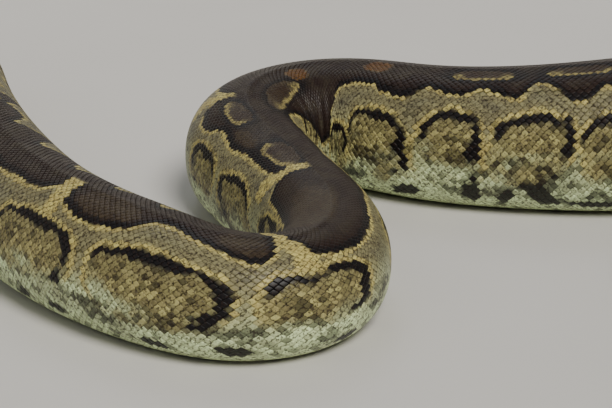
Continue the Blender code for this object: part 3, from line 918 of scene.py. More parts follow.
@dataclass
class ScaleCoat:
    """Rows of overlapping scales over the neck, trunk and tail."""

    surface: Surface
    markings: Markings
    side_rows: Rows = ((0.12, 27.0), (0.50, 33.0), (1.00, 38.0), (1.70, 46.0), (2.50, 46.0), (3.00, 33.0),
                       (3.19, 27.0), (3.40, 17.0), (3.62, 9.0))
    row_growth: tuple[float, float] = (0.78, 0.46)      # width at the spine, and its gain by the belly
    length_to_width: float = 1.64
    # one scale, seen from above: along (in pitches), across (in row widths), rise
    outline: Rows = ((0.66, 0.00, 0.62), (0.44, 0.46, 0.56), (0.06, 0.96, 0.16), (-0.30, 0.62, -0.50),
                     (-0.50, 0.00, -0.80), (-0.30, -0.62, -0.50), (0.06, -0.96, 0.16), (0.44, -0.46, 0.56))
    crown: Rows = ((0.46, 0.00, 0.95), (0.06, 0.60, 0.86), (-0.30, 0.00, 0.42), (0.06, -0.60, 0.86))
    thickness: float = 0.085        # of a row's width, for a rise of 1
    rooted: float = 0.00010
    bleed: float = 0.25             # how far a marking's edge may cross a scale
    pieces: int = 8

    def __post_init__(self) -> None:
        """Lay out the rows along the body."""
        self.at = np.linspace(HEAD_END - 0.012, self.surface.line.length, 1800)
        wanted = monotone(self.side_rows, self.at)
        most = int(math.ceil(wanted.max()))
        self.present = np.ones((most + 1, len(self.at)))
        fade = np.hanning(13)
        for pair, rows in enumerate(self._drop_order(most)):
            here = np.pad((wanted > most - 2 * pair - 1).astype(float), 6, mode="edge")
            self.present[list(rows)] = np.convolve(here, fade / fade.sum(), mode="valid")
        growth = self.row_growth[0] + self.row_growth[1] * (np.arange(most + 1) / most) ** 0.8
        self.weight = growth[:, None] * self.present
        half_spine = 0.5 * self.weight[0]
        outer = half_spine + np.cumsum(np.vstack([0.0 * half_spine, self.weight[1:]]), axis=0)
        self.unit = BellyPlates.edge_at(self.surface, self.at) / outer[-1]
        self.middle = (outer - 0.5 * self.weight) * self.unit
        self.width = self.unit * self.surface.girth_at(self.at)
        self.pitch = np.maximum(self.length_to_width * self.width, 0.0016)
        self.phase = np.concatenate([[0.0], np.cumsum(
            0.5 * (1.0 / self.pitch[1:] + 1.0 / self.pitch[:-1]) * np.diff(self.at))])

    @staticmethod
    def _drop_order(most: int) -> list[tuple[int, int]]:
        """Pairs of neighbouring rows, in the order in which they end towards the head and tail."""
        pairs = [(row, row + 1) for row in range(3, most - 2, 2)]
        order, step = [], 7
        while pairs:
            order.append(pairs.pop((len(order) * step + 5) % len(pairs)))
        return order

    def _scales(self) -> tuple[np.ndarray, np.ndarray, np.ndarray]:
        """Distance, row number and flank sign of each scale."""
        ats, rows, signs = [], [], []
        last = self.surface.line.length - 0.006
        for row in range(len(self.weight)):
            phases = np.arange(0, int(self.phase[-1]) + 1) + 0.5 * (row % 2) + 0.25
            at = np.interp(phases, self.phase, self.at)
            keep = (np.interp(at, self.at, self.present[row]) > 0.4) & (at > HEAD_END - 0.0005) & (at < last)
            for sign in ((1.0, -1.0) if row else (1.0,)):
                ats.append(at[keep])
                rows.append(np.full(keep.sum(), row))
                signs.append(np.full(keep.sum(), sign))
        return np.concatenate(ats), np.concatenate(rows), np.concatenate(signs)

    def _across(self, row: np.ndarray, at: np.ndarray, table: np.ndarray) -> np.ndarray:
        """Read a table of rows by distances."""
        i = np.interp(at, self.at, np.arange(len(self.at)))
        low = np.minimum(i.astype(int), len(self.at) - 2)
        return table[row, low] * (1.0 - (i - low)) + table[row, low + 1] * (i - low)

    def _faces(self) -> np.ndarray:
        """Triangles of one scale: its border, its crown and its underside."""
        border, crown = len(self.outline), len(self.crown)
        faces = []
        for i in range(crown):
            inner, following = border + i, border + (i + 1) % crown
            start = 2 * i
            faces += [(start, start + 1, inner), (start + 1, following, inner),
                      (start + 1, (start + 2) % border, following)]
        faces += [(border, border + 1, border + 2), (border, border + 2, border + 3)]
        faces += [(0, k + 1, k) for k in range(1, border - 1)]
        return np.array(faces)

    def build(self) -> list[bpy.types.Object]:
        """Make the coat, in pieces of one length of body each."""
        at, row, sign = self._scales()
        dice = np.random.default_rng(5)
        size = 1.0 + dice.uniform(-0.05, 0.05, len(at))
        skew = dice.uniform(-0.06, 0.06, len(at))
        form = np.array(self.outline + self.crown)
        count = len(form)
        along = form[None, :, 0] * size[:, None]
        across = form[None, :, 1] * size[:, None] + skew[:, None] * form[None, :, 0]
        vertex_at = at[:, None] + along * np.interp(at, self.at, self.pitch)[:, None]
        rows = np.repeat(row[:, None], count, axis=1)
        unit = np.interp(vertex_at, self.at, self.unit) * self._across(rows, vertex_at, self.weight)
        share = sign[:, None] * self._across(rows, vertex_at, self.middle) + across * unit
        lift = form[None, :, 2] * (self.thickness * np.interp(at, self.at, self.width))[:, None]
        points = self.surface.spot(vertex_at, share, lift + self.rooted)
        centre_share = sign * self._across(row, at, self.middle)
        paint = self.markings.body(at[:, None] + self.bleed * (vertex_at - at[:, None]),
                                   centre_share[:, None] + self.bleed * (share - centre_share[:, None]))
        marks = paint.marks()
        # Borders at height 0 take painted shade in the material, crowns at 1 none.
        tints = paint.tints(np.repeat([0.0, 1.0], [len(self.outline), len(self.crown)]))
        faces = self._faces()
        edges = np.linspace(0, len(at), self.pieces + 1).astype(int)
        order = np.argsort(at, kind="stable")
        pieces = []
        for number, (start, end) in enumerate(zip(edges[:-1], edges[1:]), 1):
            chosen = order[start:end]
            first, last = at[chosen].min(), at[chosen].max()
            u = (at[chosen] - first) / (last - first) * 0.99 + 0.005
            v = (centre_share[chosen] + 1.0) / 2.0
            spread = np.stack([form[:, 0], form[:, 1] * 0.6], -1) * 0.0026
            places = np.stack([u, v], -1)[:, None, :] + spread[None]
            piece_faces = (faces[None] + (np.arange(len(chosen)) * count)[:, None, None]).reshape(-1, 3)
            pieces.append(Maker.build(
                f"scales_{number:02d}", points[chosen].reshape(-1, 3), piece_faces,
                marks[chosen].reshape(-1, 4), tints[chosen].reshape(-1, 4),
                np.clip(places, 0.0, 1.0).reshape(-1, 2)))
        return pieces


@dataclass
class BellyPlates:
    """The wide plates across the belly, the vent's plate and the paired plates under the tail."""

    surface: Surface
    markings: Markings
    coat: ScaleCoat
    scales_per_plate: float = 1.72
    stations: Rows = ((-0.06, -0.5), (0.14, 0.55), (0.62, 1.0), (1.10, 0.85))      # along, rise
    across: int = 18
    thickness: float = 0.00042

    @staticmethod
    def edge_at(surface: Surface, at: np.ndarray) -> np.ndarray:
        """Share of the way round at which the belly plates end and the rows of scales begin."""
        return 1.0 - 0.275 * surface.tall_at(at) / surface.girth_at(at)

    def _plate(self, start: float, end: float, sides: tuple[float, float]) -> tuple[np.ndarray, ...]:
        """One plate between two distances: a top and an under sheet that share their rim.

        At two corners the sheets also share a triangle, so those corners are one sheet thick.

        Args:
            start: Front edge's distance.
            end: Rear edge's distance.
            sides: How far it reaches, from -1 at the left end to 1 at the right.

        Returns:
            Points, triangles, distances and shares of the way round.
        """
        t = np.linspace(sides[0], sides[1], self.across)
        rows = []
        for along, rise in self.stations:
            at = start + along * (end - start) + 0.10 * (end - start) * (1.0 - t ** 2)
            width = 1.0 - self.edge_at(self.surface, at)
            share = np.where(t < 0.0, -1.0, 1.0) * (1.0 - width * np.abs(t) * 1.03)
            from_middle = (t - (sides[0] + sides[1]) / 2.0) / ((sides[1] - sides[0]) / 2.0)
            taper = np.clip(1.0 - from_middle ** 6, 0, 1)
            rows.append((at, share, self.thickness * (rise * taper - 0.5 * (1.0 - taper))))
        at = np.stack([row[0] for row in rows])
        share = np.stack([row[1] for row in rows])
        lift = np.stack([row[2] for row in rows])
        top = self.surface.spot(at, share, lift).reshape(-1, 3)
        sunk = self.surface.spot(at[1:-1, 1:-1], share[1:-1, 1:-1], -0.0006).reshape(-1, 3)
        n, m = at.shape
        index = np.arange(n * m).reshape(n, m)
        under = index.copy()
        under[1:-1, 1:-1] = n * m + np.arange((n - 2) * (m - 2)).reshape(n - 2, m - 2)

        def sheet(grid: np.ndarray, flip: bool) -> np.ndarray:
            a, b, c, d = grid[:-1, :-1], grid[1:, :-1], grid[1:, 1:], grid[:-1, 1:]
            first, second = (np.stack(x, -1).reshape(-1, 3) for x in ((a, b, c), (a, c, d)))
            both = np.concatenate([first, second])
            return both[:, ::-1] if flip else both
        faces = np.concatenate([sheet(index, True), sheet(under, False)])
        flat_at = np.concatenate([at.ravel(), at[1:-1, 1:-1].ravel()])
        flat_share = np.concatenate([share.ravel(), share[1:-1, 1:-1].ravel()])
        return np.vstack([top, sunk]), faces, flat_at, flat_share

    def build(self) -> bpy.types.Object:
        """Make all the plates as one piece."""
        first = float(np.interp(HEAD_END - 0.004, self.coat.at, self.coat.phase))
        last = float(np.interp(self.surface.line.length - 0.010, self.coat.at, self.coat.phase))
        marks = np.arange(first, last, self.scales_per_plate)
        at = np.interp(marks, self.coat.phase, self.coat.at)
        vent = int(np.searchsorted(at, VENT_AT))
        points, faces, ats, shares, total = [], [], [], [], 0
        for i in range(len(at) - 1):
            if i == vent + 1:
                continue
            end = at[i + 1] if i != vent else at[min(i + 2, len(at) - 1)]
            halves = ((-1.0, 1.0),) if i <= vent else ((-1.0, -0.02), (0.02, 1.0))
            for sides in halves:
                p, f, a, s = self._plate(at[i], end, sides)
                points.append(p)
                faces.append(f + total)
                ats.append(a)
                shares.append(s)
                total += len(p)
        flat_at, flat_share = np.concatenate(ats), np.concatenate(shares)
        paint = self.markings.belly(flat_at, flat_share)
        round_place = np.where(flat_share < 0.0, flat_share + 2.0, flat_share) / 2.0
        along = flat_at / self.surface.line.length
        places = np.clip(np.stack([along, round_place], -1), 0.0, 1.0)
        # The plates stand at 0.8 of a scale's height, for a little painted shade.
        return Maker.build("belly_plates", np.vstack(points), np.concatenate(faces), paint.marks(),
                           paint.tints(np.array(0.8)), places)


@dataclass(frozen=True)
class Shield:
    """A named plate of the head: its place, its size, and what is special about it."""

    at: float
    height: float | None
    size: float
    pit: float = 0.0
    lip: int = 0
    around: float | None = None


@dataclass
class HeadShields:
    """Plates of the head: lip shields with heat pits, snout and brow shields, and small scales between."""

    surface: Surface
    markings: Markings
    eye: Vector
    eye_clear: float = 0.0047
    upper_lips: int = 12
    lower_lips: int = 17
    lip_from: float = 0.0060
    lip_to: float = 0.0880
    corners: int = 18
    large_corners: int = 40
    gap: float = 0.00012
    pit_radius: float = 0.00125
    small: float = 0.0036           # size of the small scales
    eye_scales: int = 11
    eye_ring: float = 0.0066        # how far the scales round the eye lie from its middle
    eye_bare: float = 0.0088        # no other scale starts nearer the eye's middle
    brow_from: float = 0.72         # above this share of the ring, the brow shield takes their place
    overlap: float = 0.004          # how far the shields run on past the first rows of scales
    trials: int = 24000
    near_head: int = 260            # sections of the surface that hold the head
    seed: int = 3
    RINGS = (1.0, 0.92, 0.60, 0.30)     # shares of a plate's reach, from its border inwards

    def _eyes(self) -> list[np.ndarray]:
        """The middles of the right and the left eye."""
        eye = np.array(self.eye)
        return [eye, self._mirrored(eye)]

    def _named(self) -> list[Shield]:
        """The shields that have names, on the right side or on the middle line."""
        shields = [Shield(0.0003, None, 0.0066, around=0.0, lip=1),
                   Shield(0.0016, None, 0.0050, around=1.0, lip=-1)]
        for i, at in enumerate(np.linspace(self.lip_from, self.lip_to, self.upper_lips)):
            mouth = float(monotone(self.surface.head.mouth, at))
            shields.append(Shield(at, mouth + 0.0031, 0.0066, pit=1.0 if i < 2 else 0.0, lip=1))
        for i, at in enumerate(np.linspace(self.lip_from + 0.001, self.lip_to, self.lower_lips)):
            mouth = float(monotone(self.surface.head.mouth, at))
            deep = 10 <= i <= 14
            shields.append(Shield(at, max(mouth - 0.0030, 0.0038), 0.0050, pit=0.8 if deep else 0.0, lip=-1))
        shields += [Shield(0.0062, 0.0188, 0.0046, pit=0.72),
                    Shield(0.0068, None, 0.0062, around=0.11), Shield(0.0140, None, 0.0066, around=0.13),
                    Shield(0.0215, None, 0.0066, around=0.12), Shield(0.0300, None, 0.0072, around=0.10),
                    Shield(0.0130, 0.0205, 0.0050), Shield(0.0190, 0.0215, 0.0048),
                    Shield(0.0250, 0.0220, 0.0046), Shield(0.0402, 0.0300, 0.0096)]
        for at in (0.012, 0.022, 0.032, 0.043):
            shields.append(Shield(at, None, 0.0062, around=0.94))
        return shields

    def _spacing(self, at: np.ndarray, around: np.ndarray) -> np.ndarray:
        """Size of the small scales over the head."""
        crown = ramp(np.abs(around), 0.45, 0.30)
        size = self.small - 0.0004 * ramp(at, 0.05, 0.10) + 0.0004 * crown * ramp(at, 0.06, 0.03)
        return size + 0.0008 * ramp(np.abs(around), 0.72, 0.85)

    def _seeds(self) -> tuple[np.ndarray, ...]:
        """Place, size, pit, lip and distance of each plate."""
        named = []
        for shield in self._named():
            around = shield.around
            if around is None:
                around = self.surface.round_at(shield.at, shield.height)
            middle = around in (0.0, 1.0)
            for sign in ((1.0,) if middle else (1.0, -1.0)):
                named.append((shield.at, sign * around, shield.size, shield.pit, shield.lip))
        named = np.array(named)
        spots = self.surface.spot(named[:, 0], named[:, 1])
        ring = []
        for centre in reversed(self._eyes()):
            normal = self._nearest_normal(centre)
            across = np.cross(normal, [0.0, 0.0, 1.0])
            across /= np.linalg.norm(across)
            up = np.cross(across, normal)
            for step in range(self.eye_scales):
                angle = 2.0 * math.pi * step / self.eye_scales - math.pi / 2.0
                if math.sin(angle) > self.brow_from:
                    continue
                ring.append(centre + self.eye_ring * (math.cos(angle) * across + math.sin(angle) * up))
        dice = np.random.default_rng(self.seed)
        pool_at = dice.uniform(0.003, HEAD_END + 0.009, self.trials)
        pool_round = dice.uniform(-1.0, 1.0, self.trials)
        pool = self.surface.spot(pool_at, pool_round)
        ring_pick = [int(np.argmin(np.linalg.norm(pool - point, axis=1))) for point in ring]
        places = np.vstack([spots, pool[ring_pick]])
        sizes = np.concatenate([named[:, 2], np.full(len(ring), self.small)])
        ats = np.concatenate([named[:, 0], pool_at[ring_pick]])
        rounds = np.concatenate([named[:, 1], pool_round[ring_pick]])
        fixed = len(places)
        want = self._spacing(pool_at, pool_round)
        chosen = []
        held, held_size = places.copy(), sizes.copy()
        eyes = np.array(self._eyes())
        clear = np.min(np.linalg.norm(pool[:, None] - eyes[None], axis=2), axis=1) > self.eye_bare
        mouth = monotone(self.surface.head.mouth, pool_at)
        _, height = self.surface.cross(pool_at, pool_round)
        lips = (np.abs(height - mouth) < 0.0050) & (pool_at < 0.094)
        for i in np.flatnonzero(clear & ~lips):
            gap = np.linalg.norm(held - pool[i], axis=1)
            if (gap > 0.46 * (held_size + want[i])).all():
                held, held_size = np.vstack([held, pool[i]]), np.append(held_size, want[i])
                chosen.append(i)
        chosen = np.array(chosen)
        for _ in range(4):
            owner = self._owners(pool, held, held_size)
            for k in range(len(chosen)):
                mine = pool[owner == fixed + k]
                if len(mine) > 3:
                    middle = mine.mean(axis=0)
                    near = np.flatnonzero(owner == fixed + k)
                    chosen[k] = near[np.argmin(np.linalg.norm(mine - middle, axis=1))]
            held[fixed:] = pool[chosen]
        ats, rounds = np.append(ats, pool_at[chosen]), np.append(rounds, pool_round[chosen])
        pits = np.concatenate([named[:, 3], np.zeros(len(held) - len(named))])
        lips = np.concatenate([named[:, 4], np.zeros(len(held) - len(named))])
        return held, held_size, ats, rounds, pits, lips

    @staticmethod
    def _owners(pool: np.ndarray, held: np.ndarray, sizes: np.ndarray) -> np.ndarray:
        """Which plate each of many points belongs to."""
        best, owner = np.full(len(pool), np.inf), np.zeros(len(pool), dtype=int)
        for k in range(len(held)):
            reach = ((pool - held[k]) ** 2).sum(axis=1) - (0.5 * sizes[k]) ** 2
            closer = reach < best
            best[closer], owner[closer] = reach[closer], k
        return owner

    def _mirrored(self, point: np.ndarray) -> np.ndarray:
        """The same place on the other side of the head."""
        line = self.surface.line
        heading = math.radians(line.start_heading)
        left = np.array([-math.sin(heading), math.cos(heading), 0.0])
        start = np.array([line.x[0], line.y[0], 0.0])
        return point - 2.0 * left * np.dot(point - start, left)

    def _nearest_normal(self, point: np.ndarray) -> np.ndarray:
        """The skin's normal nearest to a point on the head."""
        head = self.surface.points[:self.near_head]
        flat = np.argmin(((head - point) ** 2).sum(axis=-1))
        return self.surface.normals[:self.near_head].reshape(-1, 3)[flat]

    def build(self) -> bpy.types.Object:
        """Make all the shields as one piece."""
        places, sizes, ats, rounds, pits, lips = self._seeds()
        normals = self.surface.normal(ats, rounds)
        skin = self._skin_tree()
        heading = math.radians(self.surface.line.start_heading)
        ahead = np.array([math.cos(heading), math.sin(heading), 0.0])
        eyes = self._eyes()
        points, faces, tones, tints, uvs = [], [], [], [], []
        total = 0
        for k in range(len(places)):
            if ats[k] > HEAD_END + self.overlap:
                continue
            corners = self.large_corners if sizes[k] > 0.0044 else self.corners
            angles = np.linspace(0.0, 2.0 * math.pi, corners, endpoint=False)
            first = ahead - normals[k] * np.dot(ahead, normals[k])
            if np.linalg.norm(first) < 0.3:
                first = np.array([0.0, 0.0, 1.0]) - normals[k] * normals[k][2]
            first /= np.linalg.norm(first)
            second = np.cross(normals[k], first)
            reach = self._cell(k, places, sizes, normals, first, second, angles, lips)
            reach = np.minimum(reach - self.gap, 0.85 * sizes[k] + 0.0006)
            reach = np.minimum(reach, 0.15 * np.roll(reach, 1) + 0.7 * reach + 0.15 * np.roll(reach, -1))
            reach = np.maximum(reach, 0.0004)
            rise = 0.00022 + 0.030 * sizes[k] + (0.0003 if pits[k] > 0.0 else 0.0)
            rings = []
            hole = self.pit_radius * pits[k] / reach
            for share, lift in zip(self.RINGS, (-0.00022, 0.62 * rise, rise, 1.03 * rise)):
                if pits[k] > 0.0 and share < 0.8:
                    share, lift = (1.5 * hole, 1.1 * rise) if share > 0.4 else (hole, 0.0001)
                flat = np.cos(angles)[:, None] * first + np.sin(angles)[:, None] * second
                flat = flat * (share * reach)[:, None]
                tilt = 0.00016 * np.cos(angles) * share * float(ramp(ats[k], 0.06, 0.10))
                rings.append(self._laid(skin, places[k] + flat, lift + tilt, eyes))
            sunk = 0.00004 if pits[k] > 0.0 else rise * 1.05
            middle = self._laid(skin, places[k][None], np.array([sunk]), None)
            base = places[k][None] - normals[k] * 0.0008
            own = np.vstack(rings + [middle, base])
            points.append(own)
            faces.append(self._faces(corners) + total)
            total += len(own)
            paint = self.markings.head(ats[k:k + 1], *self.surface.cross(ats[k:k + 1], rounds[k:k + 1]))
            marks = np.repeat(paint.marks(), len(own), axis=0)
            # Painted shade: the inside of a heat pit or nostril is painted near-black, as if deep in shadow.
            if pits[k] > 0.0:
                marks[3 * corners:, 1] = 1.0
            tint = np.repeat(paint.tints(np.array(0.0)), len(own), axis=0)
            tint[:, 2] = ((k * 0.618) % 1.0)
            # Inner rings and middle stand at full height; the border ring and base stay at 0, which the
            # material darkens with painted shade.
            tint[corners:4 * corners + 1, 3] = 1.0
            tones.append(marks)
            tints.append(tint)
            place = np.array([ats[k] / (HEAD_END + self.overlap), (rounds[k] + 1.0) / 2.0])
            ring = np.stack([np.cos(angles), np.sin(angles)], -1)
            spread = np.vstack([ring * share for share in self.RINGS] + [np.zeros((2, 2))])
            uvs.append(np.clip(place[None] + spread * 0.0016, 0.0, 1.0))
        return Maker.build("head_shields", np.vstack(points), np.concatenate(faces), np.vstack(tones),
                           np.vstack(tints), np.vstack(uvs))

    def _cell(self, k: int, places: np.ndarray, sizes: np.ndarray, normals: np.ndarray, first: np.ndarray,
              second: np.ndarray, angles: np.ndarray, lips: np.ndarray) -> np.ndarray:
        """How far one plate reaches in each direction before it meets its neighbours.

        Args:
            k: The plate's number.
            places: Every plate's middle.
            sizes: Every plate's size.
            normals: The skin's normal at every plate.
            first: The plate's forward direction.
            second: The direction across it.
            angles: Directions to look in, from the first towards the second.
            lips: 1 on the upper lip, -1 on the lower and 0 elsewhere, for every plate.

        Returns:
            The reach in each direction.
        """
        offset = places - places[k]
        near = np.flatnonzero((np.linalg.norm(offset, axis=1) < 2.2 * sizes[k] + 0.004)
                              & (normals @ normals[k] > -0.2))
        near = near[near != k]
        x, y = offset[near] @ first, offset[near] @ second
        flat = np.hypot(x, y)
        real = np.linalg.norm(offset[near], axis=1)
        x, y = x * real / np.maximum(flat, 1e-6), y * real / np.maximum(flat, 1e-6)
        border = 0.5 * real + ((0.5 * sizes[k]) ** 2 - (0.5 * sizes[near]) ** 2) / (2.0 * real)
        border = np.clip(border, 0.25 * real, 0.75 * real)
        parted = (lips[k] * lips[near]) < 0.0
        border = np.where(parted, 0.5 * real - 0.00022, border)
        facing = np.cos(angles)[:, None] * x[None] / real + np.sin(angles)[:, None] * y[None] / real
        reach = np.where(facing > 0.05, border[None] / np.maximum(facing, 0.05), np.inf)
        return reach.min(axis=1)

    def _laid(self, skin: BVHTree, points: np.ndarray, lift: np.ndarray | float,
              eyes: list[np.ndarray] | None) -> np.ndarray:
        """Points laid on the skin, kept clear of the eyes, at a height over it.

        Args:
            skin: The skin to lay them on.
            points: Places near it.
            lift: Heights over it.
            eyes: The eyes' middles, or None where no point can be near one.

        Returns:
            The points on the skin.
        """
        lifts = np.broadcast_to(np.asarray(lift, dtype=float), (len(points),))
        laid = []
        for point, height in zip(points, lifts):
            spot, normal, _, _ = skin.find_nearest(Vector(point))
            if eyes is not None:
                for eye in eyes:
                    away = np.array(spot) - eye
                    distance = np.linalg.norm(away)
                    if 1e-6 < distance < self.eye_clear:
                        spot, normal, _, _ = skin.find_nearest(Vector(eye + away * self.eye_clear / distance))
            laid.append(np.array(spot) + np.array(normal) * height)
        return np.array(laid)

    def _skin_tree(self) -> BVHTree:
        """The head's skin as a tree for finding the nearest spot."""
        stop = int(np.searchsorted(self.surface.at, HEAD_END + 0.015))
        grid = self.surface.points[:stop]
        n, m = grid.shape[:2]
        index = np.arange(n * m).reshape(n, m)
        quads = np.stack([index[:-1, :-1], index[1:, :-1], index[1:, 1:], index[:-1, 1:]], -1).reshape(-1, 4)
        return BVHTree.FromPolygons(grid.reshape(-1, 3).tolist(), quads.tolist())

    @staticmethod
    def _faces(corners: int) -> np.ndarray:
        """Triangles of one plate: four rings, a middle and a base."""
        ring = np.arange(corners)
        after = (ring + 1) % corners
        faces = []
        for inner in (1, 2, 3):
            low, high = (inner - 1) * corners, inner * corners
            faces.append(np.stack([ring + low, after + low, after + high], -1))
            faces.append(np.stack([ring + low, after + high, ring + high], -1))
        top, base = 4 * corners, 4 * corners + 1
        faces.append(np.stack([ring + 3 * corners, after + 3 * corners, np.full(corners, top)], -1))
        faces.append(np.stack([after, ring, np.full(corners, base)], -1))
        return np.concatenate(faces)


# ---------------------------------------------------------------- mouth, eyes and spurs
def deselect() -> None:
    """Leave nothing selected."""
    bpy.ops.object.select_all(action="DESELECT")


@dataclass
class MouthSeam:
    """The dark line where the closed lips meet, from one corner of the jaw round to the other, as painted
    shade of their crease.
    """

    surface: Surface
    radius: float = 0.00042
    points: int = 90

    def build(self) -> bpy.types.Object:
        """Make the line as a thin round cord that lies half sunk between the lip shields."""
        head = self.surface.head
        half = head.mouth_end * (1.0 - np.linspace(0.0, 1.0, self.points // 2)) ** 1.6
        line = []
        for side, ats in ((1.0, half), (-1.0, half[::-1])):
            heights = monotone(head.mouth, ats)
            rounds = np.array([self.surface.round_at(max(at, 0.0006), h) for at, h in zip(ats, heights)])
            line.append(self.surface.spot(np.maximum(ats, 0.0006), side * rounds))
        path = np.vstack(line)
        curve = bpy.data.curves.new("mouth_seam", "CURVE")
        curve.dimensions, curve.bevel_depth, curve.bevel_resolution = "3D", self.radius, 2
        curve.use_fill_caps = True
        spline = curve.splines.new("POLY")
        spline.points.add(len(path) - 1)
        spline.points.foreach_set("co", np.hstack([path, np.ones((len(path), 1))]).ravel())
        seam = linked("mouth_seam", curve)
        deselect()
        seam.select_set(True)
        bpy.context.view_layer.objects.active = seam
        bpy.ops.object.convert(target="MESH")
        bpy.ops.object.shade_smooth()
        return bpy.context.object


@dataclass
class Eye:
    """A python's eye: a dark golden ball with an upright slit, under a clear scale."""

    node: str
    surface: Surface
    sunk: float = 0.0009

    def build(self) -> bpy.types.Object:
        """Make the eyeball with its places measured from the line of sight."""
        low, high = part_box(self.node)
        centre = (low + high) / 2.0
        radius = (high.z - low.z) / 2.0
        deselect()
        line = self.surface.line
        heading = math.radians(line.start_heading)
        ahead = Vector((math.cos(heading), math.sin(heading), 0.0))
        left = Vector((-ahead.y, ahead.x, 0.0))
        side = 1.0 if (centre - Vector((line.x[0], line.y[0], 0.0))).dot(left) > 0.0 else -1.0
        gaze = (left * side * 0.93 - ahead * 0.26 + Vector((0.0, 0.0, 0.22))).normalized()
        centre = centre - left * side * self.sunk
        bpy.ops.mesh.primitive_uv_sphere_add(segments=48, ring_count=32, radius=radius, location=centre)
        ball = bpy.context.object
        ball.name = self.node + "_ball"
        bpy.ops.object.transform_apply(location=True, rotation=True, scale=True)
        bpy.ops.object.shade_smooth()
        across = gaze.cross(Vector((0.0, 0.0, 1.0))).normalized()
        up = across.cross(gaze).normalized()
        layer = ball.data.uv_layers.active or ball.data.uv_layers.new(name="UVMap")
        layer.name = "iris"
        for loop in ball.data.loops:
            away = (ball.data.vertices[loop.vertex_index].co - centre) / radius
            front = 1.0 if away.dot(gaze) > 0.0 else 3.0
            sight = away.dot(across), away.dot(up)
            layer.data[loop.index].uv = [0.5 + 0.5 * share * front for share in sight]
        return ball


@dataclass
class Spur:
    """A small curved claw beside the vent."""

    node: str
    surface: Surface
    length: float = 0.0088
    radius: float = 0.0021
    bend: float = 26.0

    def build(self) -> bpy.types.Object:
        """Make the claw from a cone, ringed and bent towards the tail."""
        low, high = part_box(self.node)
        middle = (low + high) / 2.0
        pool = self.surface.points.reshape(-1, 3)
        root = pool[np.argmin(((pool - np.array(middle)) ** 2).sum(axis=1))]
        root_vector = Vector(root)
        axis = self._axis()
        if axis.dot(middle - root_vector) < 0.0:
            axis.negate()
        deselect()
        bpy.ops.mesh.primitive_cone_add(vertices=20, radius1=self.radius, radius2=self.radius * 0.16,
                                        depth=self.length, location=(0.0, 0.0, 0.0))
        claw = bpy.context.object
        claw.name = self.node + "_claw"
        bpy.ops.object.mode_set(mode="EDIT")
        bpy.ops.mesh.select_all(action="SELECT")
        bpy.ops.mesh.bisect(plane_co=(0.0, 0.0, 0.0), plane_no=(0.0, 0.0, 1.0))
        for share in (-0.34, -0.2, 0.2, 0.34):
            bpy.ops.mesh.select_all(action="SELECT")
            bpy.ops.mesh.bisect(plane_co=(0.0, 0.0, share * self.length), plane_no=(0.0, 0.0, 1.0))
        bpy.ops.object.mode_set(mode="OBJECT")
        curve = claw.modifiers.new("curve", "SIMPLE_DEFORM")
        curve.deform_method = "BEND"
        curve.deform_axis = "X"
        curve.angle = math.radians(self.bend)
        bpy.ops.object.modifier_apply(modifier=curve.name)
        claw.matrix_world = Matrix.Translation(middle) @ axis.to_track_quat("Z", "Y").to_matrix().to_4x4()
        bpy.ops.object.transform_apply(location=True, rotation=True, scale=True)
        bpy.ops.object.shade_smooth()
        return claw

    def _axis(self) -> Vector:
        """The claw's long direction, read from the solid's own points."""
        cloud = np.array([v.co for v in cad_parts[self.node].data.vertices])
        cloud = cloud - cloud.mean(axis=0)
        _, _, directions = np.linalg.svd(cloud, full_matrices=False)
        return Vector(directions[0]).normalized()


# ---------------------------------------------------------------- materials
@dataclass(frozen=True)
class ScaleFinish:
    """Colours, gloss and painted shade of one scaled surface."""

    name: str
    ground: Colour = (0.218, 0.206, 0.122)
    pale: Colour = (0.660, 0.770, 0.430)
    buff: Colour = (0.455, 0.382, 0.130)
    olive: Colour = (0.196, 0.171, 0.073)
    dark: Colour = (0.0195, 0.0104, 0.0078)
    edge: Colour = (0.0055, 0.0045, 0.0052)
    rust: Colour = (0.104, 0.046, 0.0115)
    # painted shade: brightness at a scale's border, rising to full on its crown
    rim: float = 0.78
    # painted shade over the whole surface, 1 for none
    shade: float = 1.0
    stipple: float = 0.75
    roughness: float = 0.42
    coat: float = 0.05
    bump: float = 0.15


